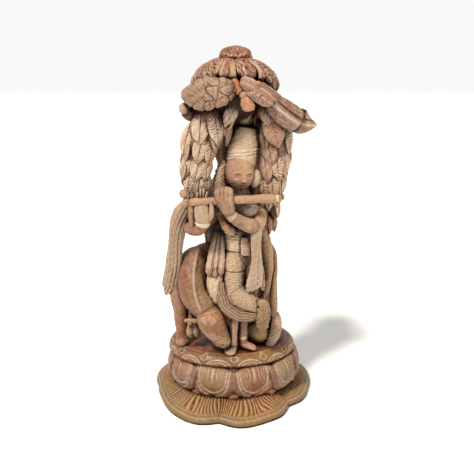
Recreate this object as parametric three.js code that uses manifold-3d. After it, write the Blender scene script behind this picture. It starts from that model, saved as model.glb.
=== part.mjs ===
// A carved soapstone figure: a flute player stands with a cow under a leafy tree, on a lotus plinth.
// The whole work is one stone, so it is one solid. Millimetres, +Z up, the front faces -Y.
// The origin is the centre of the plinth, on its flat underside.
import * as THREE from "three";
import { mergeVertices } from "three/addons/utils/BufferGeometryUtils.js";
import Module from "manifold-3d";

const wasm = await Module();
wasm.setup();

// Plinth sizes
const skirtRadius = 75; // out to the widest lobe of the bottom leaf
const rimThickness = 5; // upright edge of the bottom leaf
const skirtHeight = 14; // where the bottom leaf meets the petals
const petalHalfWidth = 57; // the row of petals, across
const petalHalfDepth = 51; // the row of petals, front to back
const petalCount = 10;
const petalTierHeight = 24; // from the bottom leaf up to the seat
const seatHalfWidth = 56;
const seatHalfDepth = 46;
const seatHeight = 12;
const seatShift = -2; // the seat is cut a little off centre

// The lobes of the bottom leaf, each from notch to notch: degrees and share of the radius.
const skirtLobes = [
  [[260, 0.907], [275, 0.993], [292, 0.953], [306, 0.92], [320, 0.827]],
  [[320, 0.827], [334, 0.893], [352, 0.907], [377, 0.973], [392, 0.973], [405, 0.893]],
  [[45, 0.893], [60, 0.96], [78, 0.98], [95, 0.96], [110, 0.893]],
  [[110, 0.893], [127, 0.973], [145, 0.987], [164, 0.987], [185, 0.913]],
  [[185, 0.913], [203, 0.92], [227, 0.98], [246, 1], [260, 0.907]],
];

// The figure and tree keep their carved proportions: every station below is in parts,
// and 250 parts make the height from the seat to the top of the tree.
const figureHeight = 250;
const part = figureHeight / 250;

const seatBottom = skirtHeight + petalTierHeight;
const seatTop = seatBottom + seatHeight;
const sunk = 2; // how far feet and trunk reach into the seat, in parts
const towardViewer = [0, -1, 0];
const upward = [0, 0, 1];

const stoneColour = new THREE.Color(0.56, 0.4, 0.3);
const degrees = Math.PI / 180;

// A closed three.js geometry as a solid.
function solid(geometry) {
  geometry.deleteAttribute("normal");
  geometry.deleteAttribute("uv");
  const merged = mergeVertices(geometry, 1e-4);
  return new wasm.Manifold(
    new wasm.Mesh({
      numProp: 3,
      vertProperties: merged.attributes.position.array,
      triVerts: new Uint32Array(merged.index.array),
    }),
  );
}

// A rounded limb: a sphere drawn out along a smooth curve through the stations.
// A station is [x, y, z, half-width, half-depth]; the width lies across the curve and the front.
function limb(stations, { sides = 8, rings = 6, front = towardViewer } = {}) {
  const path = new THREE.CatmullRomCurve3(
    stations.map(([x, y, z]) => new THREE.Vector3(x, y, z)),
    false,
    "catmullrom",
  );
  const size = new THREE.CatmullRomCurve3(
    stations.map(([, , , w, d]) => new THREE.Vector3(w, d, 0)),
    false,
    "catmullrom",
  );
  const geometry = new THREE.SphereGeometry(1, sides, rings);
  const position = geometry.attributes.position;
  const facing = new THREE.Vector3(...front);
  for (let i = 0; i < position.count; i++) {
    const v = new THREE.Vector3().fromBufferAttribute(position, i);
    const ring = Math.round((Math.acos(THREE.MathUtils.clamp(v.y, -1, 1)) / Math.PI) * rings);
    const atPole = ring === 0 || ring === rings;
    const t = atPole ? ring / rings : (ring - 0.5) / (rings - 1);
    const tangent = path.getTangent(t);
    const across = new THREE.Vector3().crossVectors(tangent, facing).normalize();
    const outward = new THREE.Vector3().crossVectors(tangent, across);
    const { x: w, y: d } = size.getPoint(t);
    const turn = Math.atan2(v.z, v.x);
    const point = path.getPoint(t);
    if (!atPole) {
      point.addScaledVector(across, Math.max(w, 0.3) * Math.cos(turn));
      point.addScaledVector(outward, Math.max(d, 0.3) * Math.sin(turn));
    }
    position.setXYZ(i, point.x, point.y, point.z);
  }
  return geometry;
}

function ball(x, y, z, rx, ry, rz, sides = 10, rings = 6) {
  return new THREE.SphereGeometry(1, sides, rings).scale(rx, ry, rz).translate(x, y, z);
}

// A turned form about the upright axis; shape gives x and y stretch for each angle.
function turned(profile, segments, shape) {
  const geometry = new THREE.LatheGeometry(
    profile.map(([r, z]) => new THREE.Vector2(r, z)),
    segments,
  ).rotateX(Math.PI / 2);
  const position = geometry.attributes.position;
  for (let i = 0; i < position.count; i++) {
    const angle = Math.atan2(position.getY(i), position.getX(i));
    const [sx, sy] = shape(angle);
    position.setX(i, position.getX(i) * sx);
    position.setY(i, position.getY(i) * sy);
  }
  return geometry;
}

// How far out the bottom leaf reaches at an angle, as a share of its radius.
function lobeShare(angle) {
  const turn = Math.round(((angle / degrees) % 360) + 360) % 360;
  for (const lobe of skirtLobes) {
    const a = turn < lobe[0][0] ? turn + 360 : turn;
    if (a > lobe.at(-1)[0]) continue;
    const curve = new THREE.SplineCurve(lobe.map(([d, r]) => new THREE.Vector2(d, r)));
    const i = lobe.findIndex(([d]) => d >= a);
    const share = i ? (a - lobe[i - 1][0]) / (lobe[i][0] - lobe[i - 1][0]) : 0;
    return curve.getPoint((Math.max(i - 1, 0) + share) / (lobe.length - 1)).y;
  }
}

function plinth() {
  const neck = 0.8; // the drum behind the petals, as a share of them
  const skirt = turned(
    [
      [0, 0],
      [skirtRadius * 0.985, 0],
      [skirtRadius, rimThickness * 0.5],
      [skirtRadius * 0.98, rimThickness],
      [skirtRadius * 0.72, skirtHeight],
      [0, skirtHeight * 1.2],
    ],
    72,
    (angle) => [lobeShare(angle), lobeShare(angle)],
  );
  const stretch = petalHalfDepth / petalHalfWidth;
  const drum = turned(
    [
      [0, skirtHeight * 0.7],
      [petalHalfWidth * neck, skirtHeight * 0.7],
      [petalHalfWidth * 0.9, skirtHeight + petalTierHeight * 0.5],
      [petalHalfWidth * 0.82, seatBottom],
      [0, seatBottom + seatHeight * 0.15],
    ],
    20,
    () => [1, stretch],
  );
  const seat = turned(
    [
      [0, seatBottom - seatHeight * 0.08],
      [seatHalfWidth * 0.94, seatBottom - seatHeight * 0.08],
      [seatHalfWidth, seatBottom + seatHeight * 0.35],
      [seatHalfWidth * 0.98, seatBottom + seatHeight * 0.7],
      [seatHalfWidth * 0.86, seatTop],
      [0, seatTop],
    ],
    36,
    () => [1, seatHalfDepth / seatHalfWidth],
  ).translate(seatShift, 0, 0);
  const pieces = [skirt, drum, seat];
  for (let i = 0; i < petalCount; i++) {
    const whole = petalAt(((i + 0.5) / petalCount) * 360 - 90, 1);
    const tip = petalAt((i / petalCount) * 360 - 90, 0.36);
    pieces.push(whole, tip);
  }
  return pieces;
}

// One drooping petal; a narrow one shows as the cusp between its neighbours.
function petalAt(angle, breadth) {
  const cx = Math.cos(angle * degrees);
  const cy = Math.sin(angle * degrees);
  const halfShare = ((petalHalfWidth + petalHalfDepth) * Math.PI) / (2 * petalCount);
  const thickness = petalHalfWidth * 0.105;
  const rows = [
    [0.8, 1.02, 0.7, 0.65],
    [0.9, 0.8, 1.0, 0.9],
    [0.915, 0.5, 1.06, 1],
    [0.87, 0.18, 0.86, 0.9],
    [0.83, -0.02, 0.42, 0.65],
    [0.84, -0.1, 0.1, 0.25],
  ];
  const stations = rows.map(([out, up, w, d]) => [
    petalHalfWidth * out * cx,
    petalHalfDepth * out * cy,
    skirtHeight + petalTierHeight * up,
    halfShare * w * breadth,
    thickness * (breadth < 1 ? d * 0.8 : d),
  ]);
  const mesh = breadth < 1 ? { sides: 5, rings: 4 } : { sides: 8, rings: 6 };
  return limb(stations, { ...mesh, front: [cx, cy, 0] });
}

function cow() {
  const body = [
    [-40, 2, 62, 18, 13],
    [-32, 3, 62, 23.5, 15],
    [-10, 5, 59, 23, 16],
    [12, 5, 59, 23, 16],
    [26, 3, 60, 23, 15],
    [36, 1, 58, 14, 11],
  ];
  const neck = [
    [-32, 8, 80, 9, 9],
    [-33, 0, 70, 14, 16],
    [-34, -12, 58, 14.5, 15],
    [-32.5, -22, 47, 12.5, 12],
    [-27, -29, 38, 10.5, 10],
    [-21, -32, 32, 8, 7],
  ];
  const head = [
    [-23.4, -31, 44, 5, 4],
    [-21.4, -34, 38, 11.2, 7.5],
    [-18.6, -37, 29, 12.6, 8.4],
    [-15, -39, 20, 10.6, 7.6],
    [-11.6, -39.5, 12, 8.4, 6.8],
    [-9.6, -39.5, 6, 7.8, 6],
    [-8.6, -39.5, 3.5, 5, 4],
  ];
  const ear = [
    [-25, -34, 28.5, 2.6, 2],
    [-33, -34.5, 27, 3, 1.8],
    [-41, -34, 26, 2.4, 1.4],
  ];
  const farEar = [
    [-13, -33, 38, 2, 2],
    [-8, -33, 41, 2.6, 1.8],
    [-3, -31, 43, 1, 1],
  ];
  const throat = [
    [-30, -31, 22, 4, 4],
    [-34, -30, 15, 5.5, 4.5],
    [-35, -28, 8, 5.5, 4.5],
    [-36, -26, -sunk, 4.5, 4],
  ];
  const foreleg = [
    [-40, 0, 64, 7, 9],
    [-44.5, -7, 52, 9, 10],
    [-46, -12, 42, 8.8, 9],
    [-45.4, -15, 30, 6.8, 7],
    [-45, -17, 18, 5.6, 5.6],
    [-44.5, -17.5, 8, 5, 5.4],
    [-44.5, -19, 2, 6.2, 6.6],
    [-44.5, -19, -sunk, 6.2, 6.6],
  ];
  const hindleg = [
    [26, 2, 80, 8, 10],
    [27.6, 0, 66, 9.4, 13],
    [29.6, -1, 48, 8.4, 12],
    [32, -2, 32, 6.6, 9],
    [34, -3, 18, 5, 6],
    [34.6, -3, 8, 4.8, 5.6],
    [35, -4.5, 2, 5.8, 7],
    [35, -4.5, -sunk, 5.8, 7],
  ];
  // the pair of legs on the far side, as seen from the front
  const farLeg = (x, y) => [
    [x, y - 5, 55, 8, 8],
    [x, y, 38, 8, 8],
    [x, y + 2, 22, 5.4, 5.6],
    [x, y + 2, 9, 4.6, 5],
    [x, y + 1, 2, 5.6, 6.4],
    [x, y + 1, -sunk, 5.6, 6.4],
  ];
  const tailRoot = [
    [31, 8, 84, 2.6, 2.6],
    [34.6, -2, 76, 3, 3],
    [35, -9, 62, 2.8, 2.8],
    [34, -12, 48, 2.6, 2.6],
    [35, -13, 30, 3, 2.8],
    [36, -14, 22, 3, 3],
  ];
  const tuft = [
    [35.5, -12, 29, 1.6, 2],
    [37.5, -14, 21, 4.4, 4],
    [36.5, -18, 12, 5, 4.2],
    [33, -21, 5, 4.6, 4],
    [29.5, -23, -sunk, 3.4, 3],
  ];
  return [
    limb(body, { sides: 10, rings: 7 }),
    limb(neck, { sides: 10, rings: 7 }),
    limb(head, { sides: 8, rings: 7 }),
    limb(ear, { sides: 6, rings: 4 }),
    limb(farEar, { sides: 6, rings: 4 }),
    limb(throat, { sides: 6, rings: 5 }),
    limb(foreleg, { sides: 8, rings: 9 }),
    limb(hindleg, { sides: 8, rings: 9 }),
    limb(farLeg(-37, 12), { sides: 6, rings: 6 }),
    limb(farLeg(30, 13), { sides: 6, rings: 6 }),
    limb(tailRoot, { sides: 6, rings: 7 }),
    limb(tuft, { sides: 8, rings: 6 }),
    ball(21, -13, 7, 10, 9, 7.6),
  ];
}

function dancer() {
  const torso = [
    [3, -15, 58, 9, 8],
    [3, -16, 68, 12, 10.5],
    [3, -16.5, 78, 12.2, 10.5],
    [3, -15.5, 89, 11, 9],
    [4, -14, 100, 12.4, 9.5],
    [5, -13, 112, 15.5, 10.5],
    [5.5, -12, 122, 17, 9.5],
    [6, -12, 129, 10, 8],
    [6, -13, 136, 6.5, 6.5],
    [6.2, -15, 146, 6, 6],
  ];
  const belt = [
    [3, -16.5, 72, 10, 9],
    [3, -16.5, 76, 13.2, 11.8],
    [3, -16, 83, 13, 11.4],
    [3, -16, 87, 9.5, 8.5],
  ];
  const thigh = [
    [1, -18, 88, 6, 6],
    [0.4, -22, 76, 9.8, 9],
    [0.4, -25, 66, 9.2, 9],
    [0.6, -28, 55, 8.6, 8.6],
    [1.8, -30, 46, 9.4, 8.4],
    [4, -31, 39, 6, 6],
  ];
  const crossedKnee = [
    [0, -27, 58, 8, 7],
    [3.4, -30, 50, 10.4, 9],
    [10, -33, 45.6, 9.4, 8.4],
    [17, -34, 42, 7.6, 7],
    [23, -33.6, 39, 6, 6],
    [28, -32, 36, 3, 3],
  ];
  const backThigh = [
    [9, -14, 84, 6, 6],
    [12, -17, 70, 8, 8],
    [14, -21, 57, 7.4, 7.4],
    [13, -25, 46, 6.5, 6.5],
    [10, -27, 36, 5, 5],
  ];
  const hem = [
    [-10.6, -28, 62, 3.4, 4],
    [-9.4, -31, 51, 5.4, 5.4],
    [-5, -35, 41, 6.2, 5.4],
    [4, -37.5, 35.6, 5.8, 5],
    [14, -38, 34, 5, 4.6],
    [22, -37, 35, 3.6, 4],
  ];
  const rosette = [
    [20, -38, 42.5, 3, 3],
    [23.5, -39.5, 44.5, 5.4, 4.4],
    [25.5, -40, 38, 6, 4.6],
    [24.5, -41, 31, 6.4, 4.2],
    [24, -41, 25, 5.6, 3.6],
    [24, -40.5, 21, 1.6, 1.6],
  ];
  const shinLeft = [
    [1, -28, 44, 5, 5],
    [0.6, -31, 32, 4, 4.4],
    [0.3, -32.5, 20, 3.5, 3.8],
    [-0.2, -33, 8, 3.3, 3.6],
    [-0.4, -33, 0, 3.6, 4],
  ];
  const footLeft = [
    [0.4, -30, 2.2, 3, 2.2],
    [-1.6, -35, 2.6, 3.8, 2.6],
    [-3.8, -39.5, 1.6, 4.2, 2.2],
    [-5.2, -42, 0.6, 3, 1.6],
  ];
  const shinRight = [
    [10, -25, 44, 5, 5],
    [8.4, -26.5, 32, 4.2, 4.6],
    [7.8, -27.5, 18, 3.8, 4],
    [8, -28, 7, 3.6, 3.8],
    [8.2, -28, 0, 3.8, 4],
  ];
  const footRight = [
    [6, -27.5, 2.6, 2.6, 3],
    [11, -29, 2.8, 3, 3.6],
    [16, -30.5, 1.8, 2.4, 3.8],
    [19.5, -31.5, 0.8, 1.6, 2.8],
  ];
  const head = [
    [6, -16, 164, 8, 8],
    [5.9, -18, 159, 11.4, 11],
    [5.8, -19, 150, 12.2, 11.6],
    [6.3, -19.5, 143, 10, 10],
    [6.6, -20, 138.4, 5.6, 6],
    [6.6, -20, 137, 3, 3],
  ];
  const crown = [
    [6.4, -16, 155, 11.8, 11],
    [7, -16, 159, 13.8, 12.6],
    [9, -15.6, 167, 14.2, 12.2],
    [11, -15, 176, 13.6, 10.8],
    [13.4, -14, 184, 9.6, 8],
    [14.6, -13.6, 187.6, 4, 4],
  ];
  const earRight = [
    [19, -15, 154, 2.4, 2.6],
    [20, -14, 150, 4.6, 3.2],
    [19.6, -14, 144, 4.8, 3.2],
    [18, -14, 139, 1.8, 2],
  ];
  const locksLeft = [
    [-6.5, -14, 159, 3, 3],
    [-10, -13, 151, 4.6, 4],
    [-11, -13, 141, 4.8, 4.2],
    [-10, -14, 130, 4.6, 4.4],
    [-7, -15, 121, 4, 4],
  ];
  const upperArmRight = [
    [14, -12, 124, 6, 6],
    [20, -17, 119, 6.8, 7.4],
    [21, -24, 114, 6.4, 7.2],
    [18.5, -31, 110, 6.2, 6.4],
    [16, -34, 108.5, 4, 4],
  ];
  const forearmRight = [
    [20, -31, 109, 5, 5],
    [15, -34, 110, 6.2, 6],
    [8, -36.5, 113.4, 5.6, 5.4],
    [1.5, -38, 117.4, 4.8, 4.6],
    [-2.6, -38.6, 121.5, 4.2, 3.8],
    [-4, -38.6, 124, 3, 3],
  ];
  const handRight = [
    [-2.6, -38.6, 119.5, 3.2, 3],
    [-4, -40, 125, 5.2, 3.6],
    [-5.2, -40.6, 131.5, 6, 3.4],
    [-5.8, -40, 138, 5.9, 3.6],
    [-6, -37.5, 141.5, 5, 3],
  ];
  const upperArmLeft = [
    [-4, -8, 121, 6, 6],
    [-13, -8, 113, 6, 6],
    [-22, -11, 106.5, 5.4, 5.4],
    [-30, -18, 105, 5.6, 5.6],
    [-36.6, -24, 106, 5, 5],
  ];
  const forearmLeft = [
    [-39.6, -23, 108, 3, 3],
    [-35, -27, 106.4, 5.6, 5.6],
    [-28.4, -32, 106.8, 5.4, 5.4],
    [-24.6, -36, 110.4, 5, 4.4],
    [-24.2, -37, 114, 4, 3.6],
  ];
  const palmLeft = [
    [-25, -37, 109.5, 4, 3.2],
    [-24.4, -38.4, 114, 6, 3.6],
    [-24, -38.6, 121, 6.8, 3.2],
    [-24, -38, 127, 6.6, 2.6],
    [-24, -37, 130, 5.4, 2.2],
  ];
  const fingerLeft = (i) => {
    const x = -31.2 + 3.4 * i;
    return [
      [x, -36.5, 126, 1.4, 1.6],
      [x - 0.2, -35, 132, 1.7, 1.7],
      [x - 0.4, -35.5, 138 + (i === 1 || i === 2 ? 2 : 0), 1.5, 1.5],
    ];
  };
  const thumbLeft = [
    [-19.5, -38.5, 117, 1.8, 1.8],
    [-17.6, -40, 123, 2.3, 2],
    [-17.8, -40.5, 130, 1.9, 1.7],
    [-18.4, -40, 134, 1, 1],
  ];
  const hangingArm = [
    [19, -18, 110, 3.6, 3.6],
    [24, -19.5, 99, 4.6, 4.6],
    [27.4, -20, 89, 5, 4.8],
    [29, -20, 75, 4.4, 4.4],
    [29.6, -20, 64, 3, 3],
    [28.6, -21, 57, 3.2, 2.6],
    [26.4, -22.5, 49, 2.8, 2],
    [24.6, -23.5, 44, 1.2, 1.2],
  ];
  return [
    limb(torso, { sides: 10, rings: 9 }),
    limb(belt, { sides: 10, rings: 4 }),
    limb(thigh, { sides: 10, rings: 7 }),
    limb(crossedKnee, { sides: 10, rings: 6 }),
    limb(backThigh, { sides: 8, rings: 6 }),
    limb(hem, { sides: 8, rings: 8 }),
    limb(rosette, { sides: 8, rings: 7 }),
    limb(shinLeft, { sides: 7, rings: 5 }),
    limb(footLeft, { sides: 6, rings: 5, front: upward }),
    limb(shinRight, { sides: 7, rings: 5 }),
    limb(footRight, { sides: 6, rings: 5 }),
    limb(head, { sides: 10, rings: 7 }),
    limb(crown, { sides: 10, rings: 6 }),
    limb(earRight, { sides: 6, rings: 5 }),
    limb(locksLeft, { sides: 7, rings: 6 }),
    limb(upperArmRight, { sides: 8, rings: 6, front: upward }),
    limb(forearmRight, { sides: 8, rings: 6 }),
    limb(handRight, { sides: 8, rings: 6 }),
    limb(upperArmLeft, { sides: 8, rings: 6 }),
    limb(forearmLeft, { sides: 8, rings: 5, front: upward }),
    limb(palmLeft, { sides: 8, rings: 5 }),
    ...[0, 1, 2, 3].map((i) => limb(fingerLeft(i), { sides: 5, rings: 4 })),
    limb(thumbLeft, { sides: 5, rings: 4 }),
    limb(hangingArm, { sides: 8, rings: 9 }),
  ];
}

function flute() {
  const radius = 3.5;
  const pipe = [
    [-35.4, -37, 130.2, radius * 0.8, radius * 0.8],
    [-25, -37.4, 130.8, radius, radius],
    [2, -37.4, 132.2, radius, radius],
    [27, -36.4, 133.2, radius, radius],
    [38.6, -35.4, 133.8, radius * 0.8, radius * 0.8],
  ];
  const finger = [
    [-34.4, -35, 130, 2, 2],
    [-35.4, -35.4, 120, 2.6, 2.2],
    [-34.4, -31, 107, 2, 2],
  ];
  return [
    limb(pipe, { sides: 8, rings: 5 }),
    ball(-39.4, -33.5, 136.4, 3.8, 3.6, 3.8, 8, 5),
    ball(-37.2, -34, 129.6, 3.8, 3.6, 3.8, 8, 5),
    ball(39.4, -33.6, 133.8, 1.8, 2.2, 2.6, 6, 4),
    limb(finger, { sides: 6, rings: 4 }),
  ];
}

function drapery() {
  const scarfLeft = [
    [-33, -26, 129, 3.4, 3],
    [-38, -21, 123, 6, 5.5],
    [-43, -17.5, 114, 8, 6],
    [-46.2, -15.5, 103, 7.2, 5],
    [-48.4, -14, 90, 6.2, 4],
    [-50.4, -13.5, 75, 6.6, 3.5],
    [-52.4, -13.5, 60, 7.6, 3.3],
    [-53.8, -13.5, 50, 7.6, 3],
    [-56.4, -13.5, 45.4, 5, 2.6],
    [-59, -13.5, 43, 1.6, 1.8],
  ];
  const scarfRight = [
    [19.5, -30, 112, 3.6, 3.6],
    [18.6, -34.5, 104, 4.6, 3.6],
    [18.6, -35.4, 90, 3.9, 3],
    [19, -35.4, 74, 5.2, 3],
    [17.6, -35.8, 63, 7, 2.7],
    [14.6, -36, 57, 5.4, 2.2],
    [10.6, -36, 53, 1.2, 1],
  ];
  const scarfTail = [
    [21.6, -34, 78, 2.4, 2.4],
    [23, -34.4, 66, 2.9, 2.2],
    [24.4, -34.4, 55, 0.8, 1],
  ];
  const sash = (x0, x1, low) => [
    [x0, -17, 102, 2.2, 2.4],
    [(x0 + x1) / 2, -22.5, 90, 2.7, 2.6],
    [x1, -27, 78, 3, 2.6],
    [x1 - 0.8, -30, low, 3.1, 3],
    [x1 - 0.8, -30, low - 3, 1.4, 1.6],
  ];
  const skirtLeft = [
    [-12, -20, 82, 4, 5],
    [-14, -24, 68, 6.6, 6],
    [-15, -27, 58, 7.2, 5.6],
    [-14, -29.5, 49, 6.4, 5],
    [-15, -31, 43, 2.8, 3],
    [-15.8, -31, 41.5, 1, 1],
  ];
  const skirtMiddle = [
    [-6, -24, 60, 6, 6],
    [-6, -28, 50, 7, 6],
    [-4, -32, 41, 6, 5],
    [-2, -33, 37, 3, 3],
  ];
  const necklace = [
    [-8, -20, 121, 2.4, 2.6],
    [-2, -24, 116, 3, 2.6],
    [6, -24.6, 113.4, 3.6, 2.6],
    [14, -23, 116, 3, 2.6],
    [20, -18, 122, 2.4, 2.4],
  ];
  return [
    limb(scarfLeft, { sides: 10, rings: 11 }),
    limb(scarfRight, { sides: 8, rings: 8 }),
    limb(scarfTail, { sides: 6, rings: 4 }),
    limb(sash(-13.4, -19, 70), { sides: 6, rings: 6 }),
    limb(sash(-11.6, -14.4, 68), { sides: 6, rings: 6 }),
    limb(sash(-9.4, -9.6, 70), { sides: 6, rings: 6 }),
    limb(skirtLeft, { sides: 8, rings: 7 }),
    limb(skirtMiddle, { sides: 8, rings: 5 }),
    limb(necklace, { sides: 6, rings: 6 }),
  ];
}

// A leaf: narrow at its stem, full in the middle, pointed at its tip.
function leaf(from, to, halfWidth, thickness, bow, front) {
  const rows = [
    [0, 0.35, 0.7],
    [0.3, 0.9, 1],
    [0.6, 1, 1],
    [0.85, 0.62, 0.8],
    [1, 0.08, 0.4],
  ];
  const stations = rows.map(([t, w, d]) => {
    const swell = bow * Math.sin(Math.PI * t);
    return [
      from[0] + (to[0] - from[0]) * t + front[0] * swell,
      from[1] + (to[1] - from[1]) * t + front[1] * swell,
      from[2] + (to[2] - from[2]) * t + front[2] * swell,
      halfWidth * w,
      thickness * d,
    ];
  });
  return limb(stations, { sides: 6, rings: 4, front });
}

function tree() {
  const trunk = [
    [2, 14, -sunk, 27, 11],
    [2, 15, 20, 23, 10],
    [2, 15, 60, 25, 11],
    [2.5, 11, 88, 28, 11],
    [2.5, 9, 108, 29, 11],
    [4, 9, 130, 25, 10],
    [6.4, 10, 150, 20, 10],
    [4, 8, 172, 23, 11],
    [2, 2, 196, 30, 19],
    [1, -1, 212, 32, 26],
    [1, -2, 222, 26, 22],
  ];
  const knob = [
    [2, -2, 234, 9, 9],
    [2, -2, 239, 12.6, 12],
    [2, -2, 243, 13.6, 12.8],
    [2, -2, 247, 12.8, 12],
    [2, -2, 249.4, 9.4, 9],
    [2, -2, 250, 4, 4],
  ];
  const pieces = [
    limb(trunk, { sides: 10, rings: 9 }),
    ball(0.8, -3, 212, 32.5, 29, 27, 14, 8),
    limb(knob, { sides: 12, rings: 6 }),
  ];
  pieces.push(...canopyLeaves(), ...garland(leftBranch, -1), ...garland(rightBranch, 1), ...bunches());
  return pieces;
}

// Broad leaves that hang down over the crown of the tree, all the way round.
function canopyLeaves() {
  const pieces = [];
  const count = 13;
  for (let i = 0; i < count; i++) {
    const angle = (i / count) * 360 - 90 + 10;
    const cx = Math.cos(angle * degrees);
    const cy = Math.sin(angle * degrees);
    const low = i % 2 ? 212 : 219;
    const wide = i % 2 ? 6 : 7.6;
    const rows = [
      [10, 239.5, 0.45, 2.4],
      [19, 236.5, 0.75, 3],
      [27.5, 229, 1.05, 3.4],
      [i % 2 ? 33 : 32.4, (230 + low) / 2 + 0.5, 1.15, 3.6],
      [34.4, low, 0.85, 2.8],
      [34, low - 2.4, 0.3, 1.2],
    ];
    const stations = rows.map(([r, z, w, d]) => [0.8 + r * cx, -3 + r * cy * 0.9, z, wide * w, d]);
    pieces.push(limb(stations, { sides: 6, rings: 5, front: [cx, cy, 0.3] }));
  }
  return pieces;
}

// Hanging branches, each thick with leaves laid in a chevron
const leftBranch = [
  [-14, -14, 206, 11, 9],
  [-21, -21, 192, 11.4, 7.5],
  [-27.4, -20, 178, 10.8, 7],
  [-31, -18, 162, 10.4, 6.6],
  [-31.4, -17.5, 149, 8.6, 6],
  [-30, -18, 137, 6, 5],
  [-29, -20, 129, 3, 3.4],
];
const rightBranch = [
  [22, -12, 208, 11, 9],
  [31.4, -17, 195, 9.4, 7.5],
  [35.6, -18, 180, 9.6, 7.4],
  [34, -17, 162, 8.6, 7],
  [31.2, -16, 147, 7.4, 6.4],
  [30, -17, 133, 6, 5.6],
  [32.6, -15, 121, 4.8, 4.4],
  [34.6, -15, 112.5, 2.6, 2.6],
];

function garland(branch, side) {
  const pieces = [limb(branch, { sides: 7, rings: 7 })];
  const path = new THREE.CatmullRomCurve3(
    branch.map(([x, y, z]) => new THREE.Vector3(x, y, z)),
    false,
    "catmullrom",
  );
  const size = new THREE.CatmullRomCurve3(
    branch.map(([, , , w, d]) => new THREE.Vector3(w, d, 0)),
    false,
    "catmullrom",
  );
  const rows = side < 0 ? 5 : 6;
  for (let i = 0; i < rows; i++) {
    const t = 0.12 + (0.66 * i) / (rows - 1);
    const c = path.getPoint(t);
    const { x: w, y: d } = size.getPoint(t);
    const reach = 24 - 5 * t;
    // front pair, then one on each flank towards the back
    for (const lean of [-1, 1]) {
      const shift = lean < 0 ? 0 : -7;
      const from = [c.x + lean * w * 0.18, c.y - d * 0.75, c.z + shift + 4];
      const to = [c.x + lean * w * 0.62, c.y - d * 0.9, c.z + shift - reach];
      pieces.push(leaf(from, to, w * 0.62, 2.6, 1.6, [lean * 0.25, -1, 0]));
      const fromBack = [c.x + lean * w * 0.7, c.y + d * 0.1, c.z + shift + 2];
      const toBack = [c.x + lean * w * 0.95, c.y + d * 0.25, c.z + shift - reach];
      if (lean === side || i < 2) pieces.push(leaf(fromBack, toBack, w * 0.55, 2.4, 1.4, [lean, 0.2, 0]));
    }
  }
  return pieces;
}

// Bunches and single leaves that stand out at the front of the tree
function bunches() {
  const bunchLeft = [
    [-39, -19, 211.5, 3, 3],
    [-33, -27, 212.4, 8.4, 7.5],
    [-25, -33, 213, 11.4, 9],
    [-12, -36, 215.6, 10.8, 9],
    [-2, -37, 218.4, 7.4, 7],
    [3.4, -36, 220, 2.4, 2.4],
  ];
  const bunchRight = [
    [5, -35, 227, 3, 3],
    [10, -39, 223.6, 6, 5.6],
    [17, -41, 217, 6.6, 6],
    [24, -41, 211.6, 5.6, 5],
    [29, -40, 208, 2.4, 2.4],
  ];
  const bud = [
    [1, -33, 224, 2.4, 2],
    [6, -38, 217, 3.2, 2.6],
    [9.6, -41, 208.6, 4.9, 3],
    [12.6, -42, 200.6, 1, 1],
  ];
  const longLeaf = [
    [19, -28, 220, 4, 4],
    [29, -32, 212, 7.4, 5],
    [39.6, -33, 202.6, 10.2, 5.6],
    [48, -32, 195.6, 8.2, 5],
    [52.4, -31.5, 191.4, 1.6, 2],
  ];
  const longLeafTip = [
    [38, -29, 200, 6, 3.4],
    [49, -29.5, 193, 7.6, 3.4],
    [58.4, -30, 189.4, 5.2, 2.6],
    [65.4, -30, 190.8, 0.8, 0.8],
  ];
  const fruit = ball(-38.4, -21, 202, 4.4, 4.4, 4.6, 8, 6);
  const underLeaf = [
    [-41, -19, 198, 1.6, 2],
    [-35, -20, 197, 4.6, 3.6],
    [-27, -19, 197.5, 5.6, 4],
    [-18, -17, 202, 3, 3],
  ];
  return [
    limb(bunchLeft, { sides: 10, rings: 7 }),
    limb(bunchRight, { sides: 8, rings: 6 }),
    limb(bud, { sides: 6, rings: 5 }),
    limb(longLeaf, { sides: 8, rings: 6 }),
    limb(longLeafTip, { sides: 8, rings: 5 }),
    fruit,
    limb(underLeaf, { sides: 6, rings: 5 }),
    leaf([21, -30, 212], [28.4, -31, 190.6], 6.4, 2.8, 2, towardViewer),
    leaf([28, -24, 200], [35.6, -25.5, 172], 8.4, 3, 2, towardViewer),
    leaf([1, -24, 208], [-7, -27, 188], 5.4, 2.6, 1.6, [0.4, -1, 0]),
    leaf([-3, -17, 194], [-6, -20, 172], 3.4, 2, 1.4, [0.8, -1, 0]),
    leaf([-9, -19, 186], [-14.6, -21, 168], 3.4, 2, 1.4, [0.6, -1, 0]),
  ];
}

// The outermost shell alone, so that no pocket stays sealed inside the stone.
function outerShell(triangles) {
  const parent = new Map();
  const find = (v) => {
    while (parent.get(v) !== v) v = parent.get(v);
    return v;
  };
  for (const v of triangles.flat()) parent.set(v, v);
  for (const [a, b, c] of triangles) {
    parent.set(find(a), find(c));
    parent.set(find(b), find(c));
  }
  const shells = Map.groupBy(triangles, ([a]) => find(a));
  return [...shells.values()].sort((p, q) => q.length - p.length)[0];
}

function faceNormal([a, b, c]) {
  const along = new THREE.Vector3().subVectors(b, a);
  return along.cross(new THREE.Vector3().subVectors(c, a));
}

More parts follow.
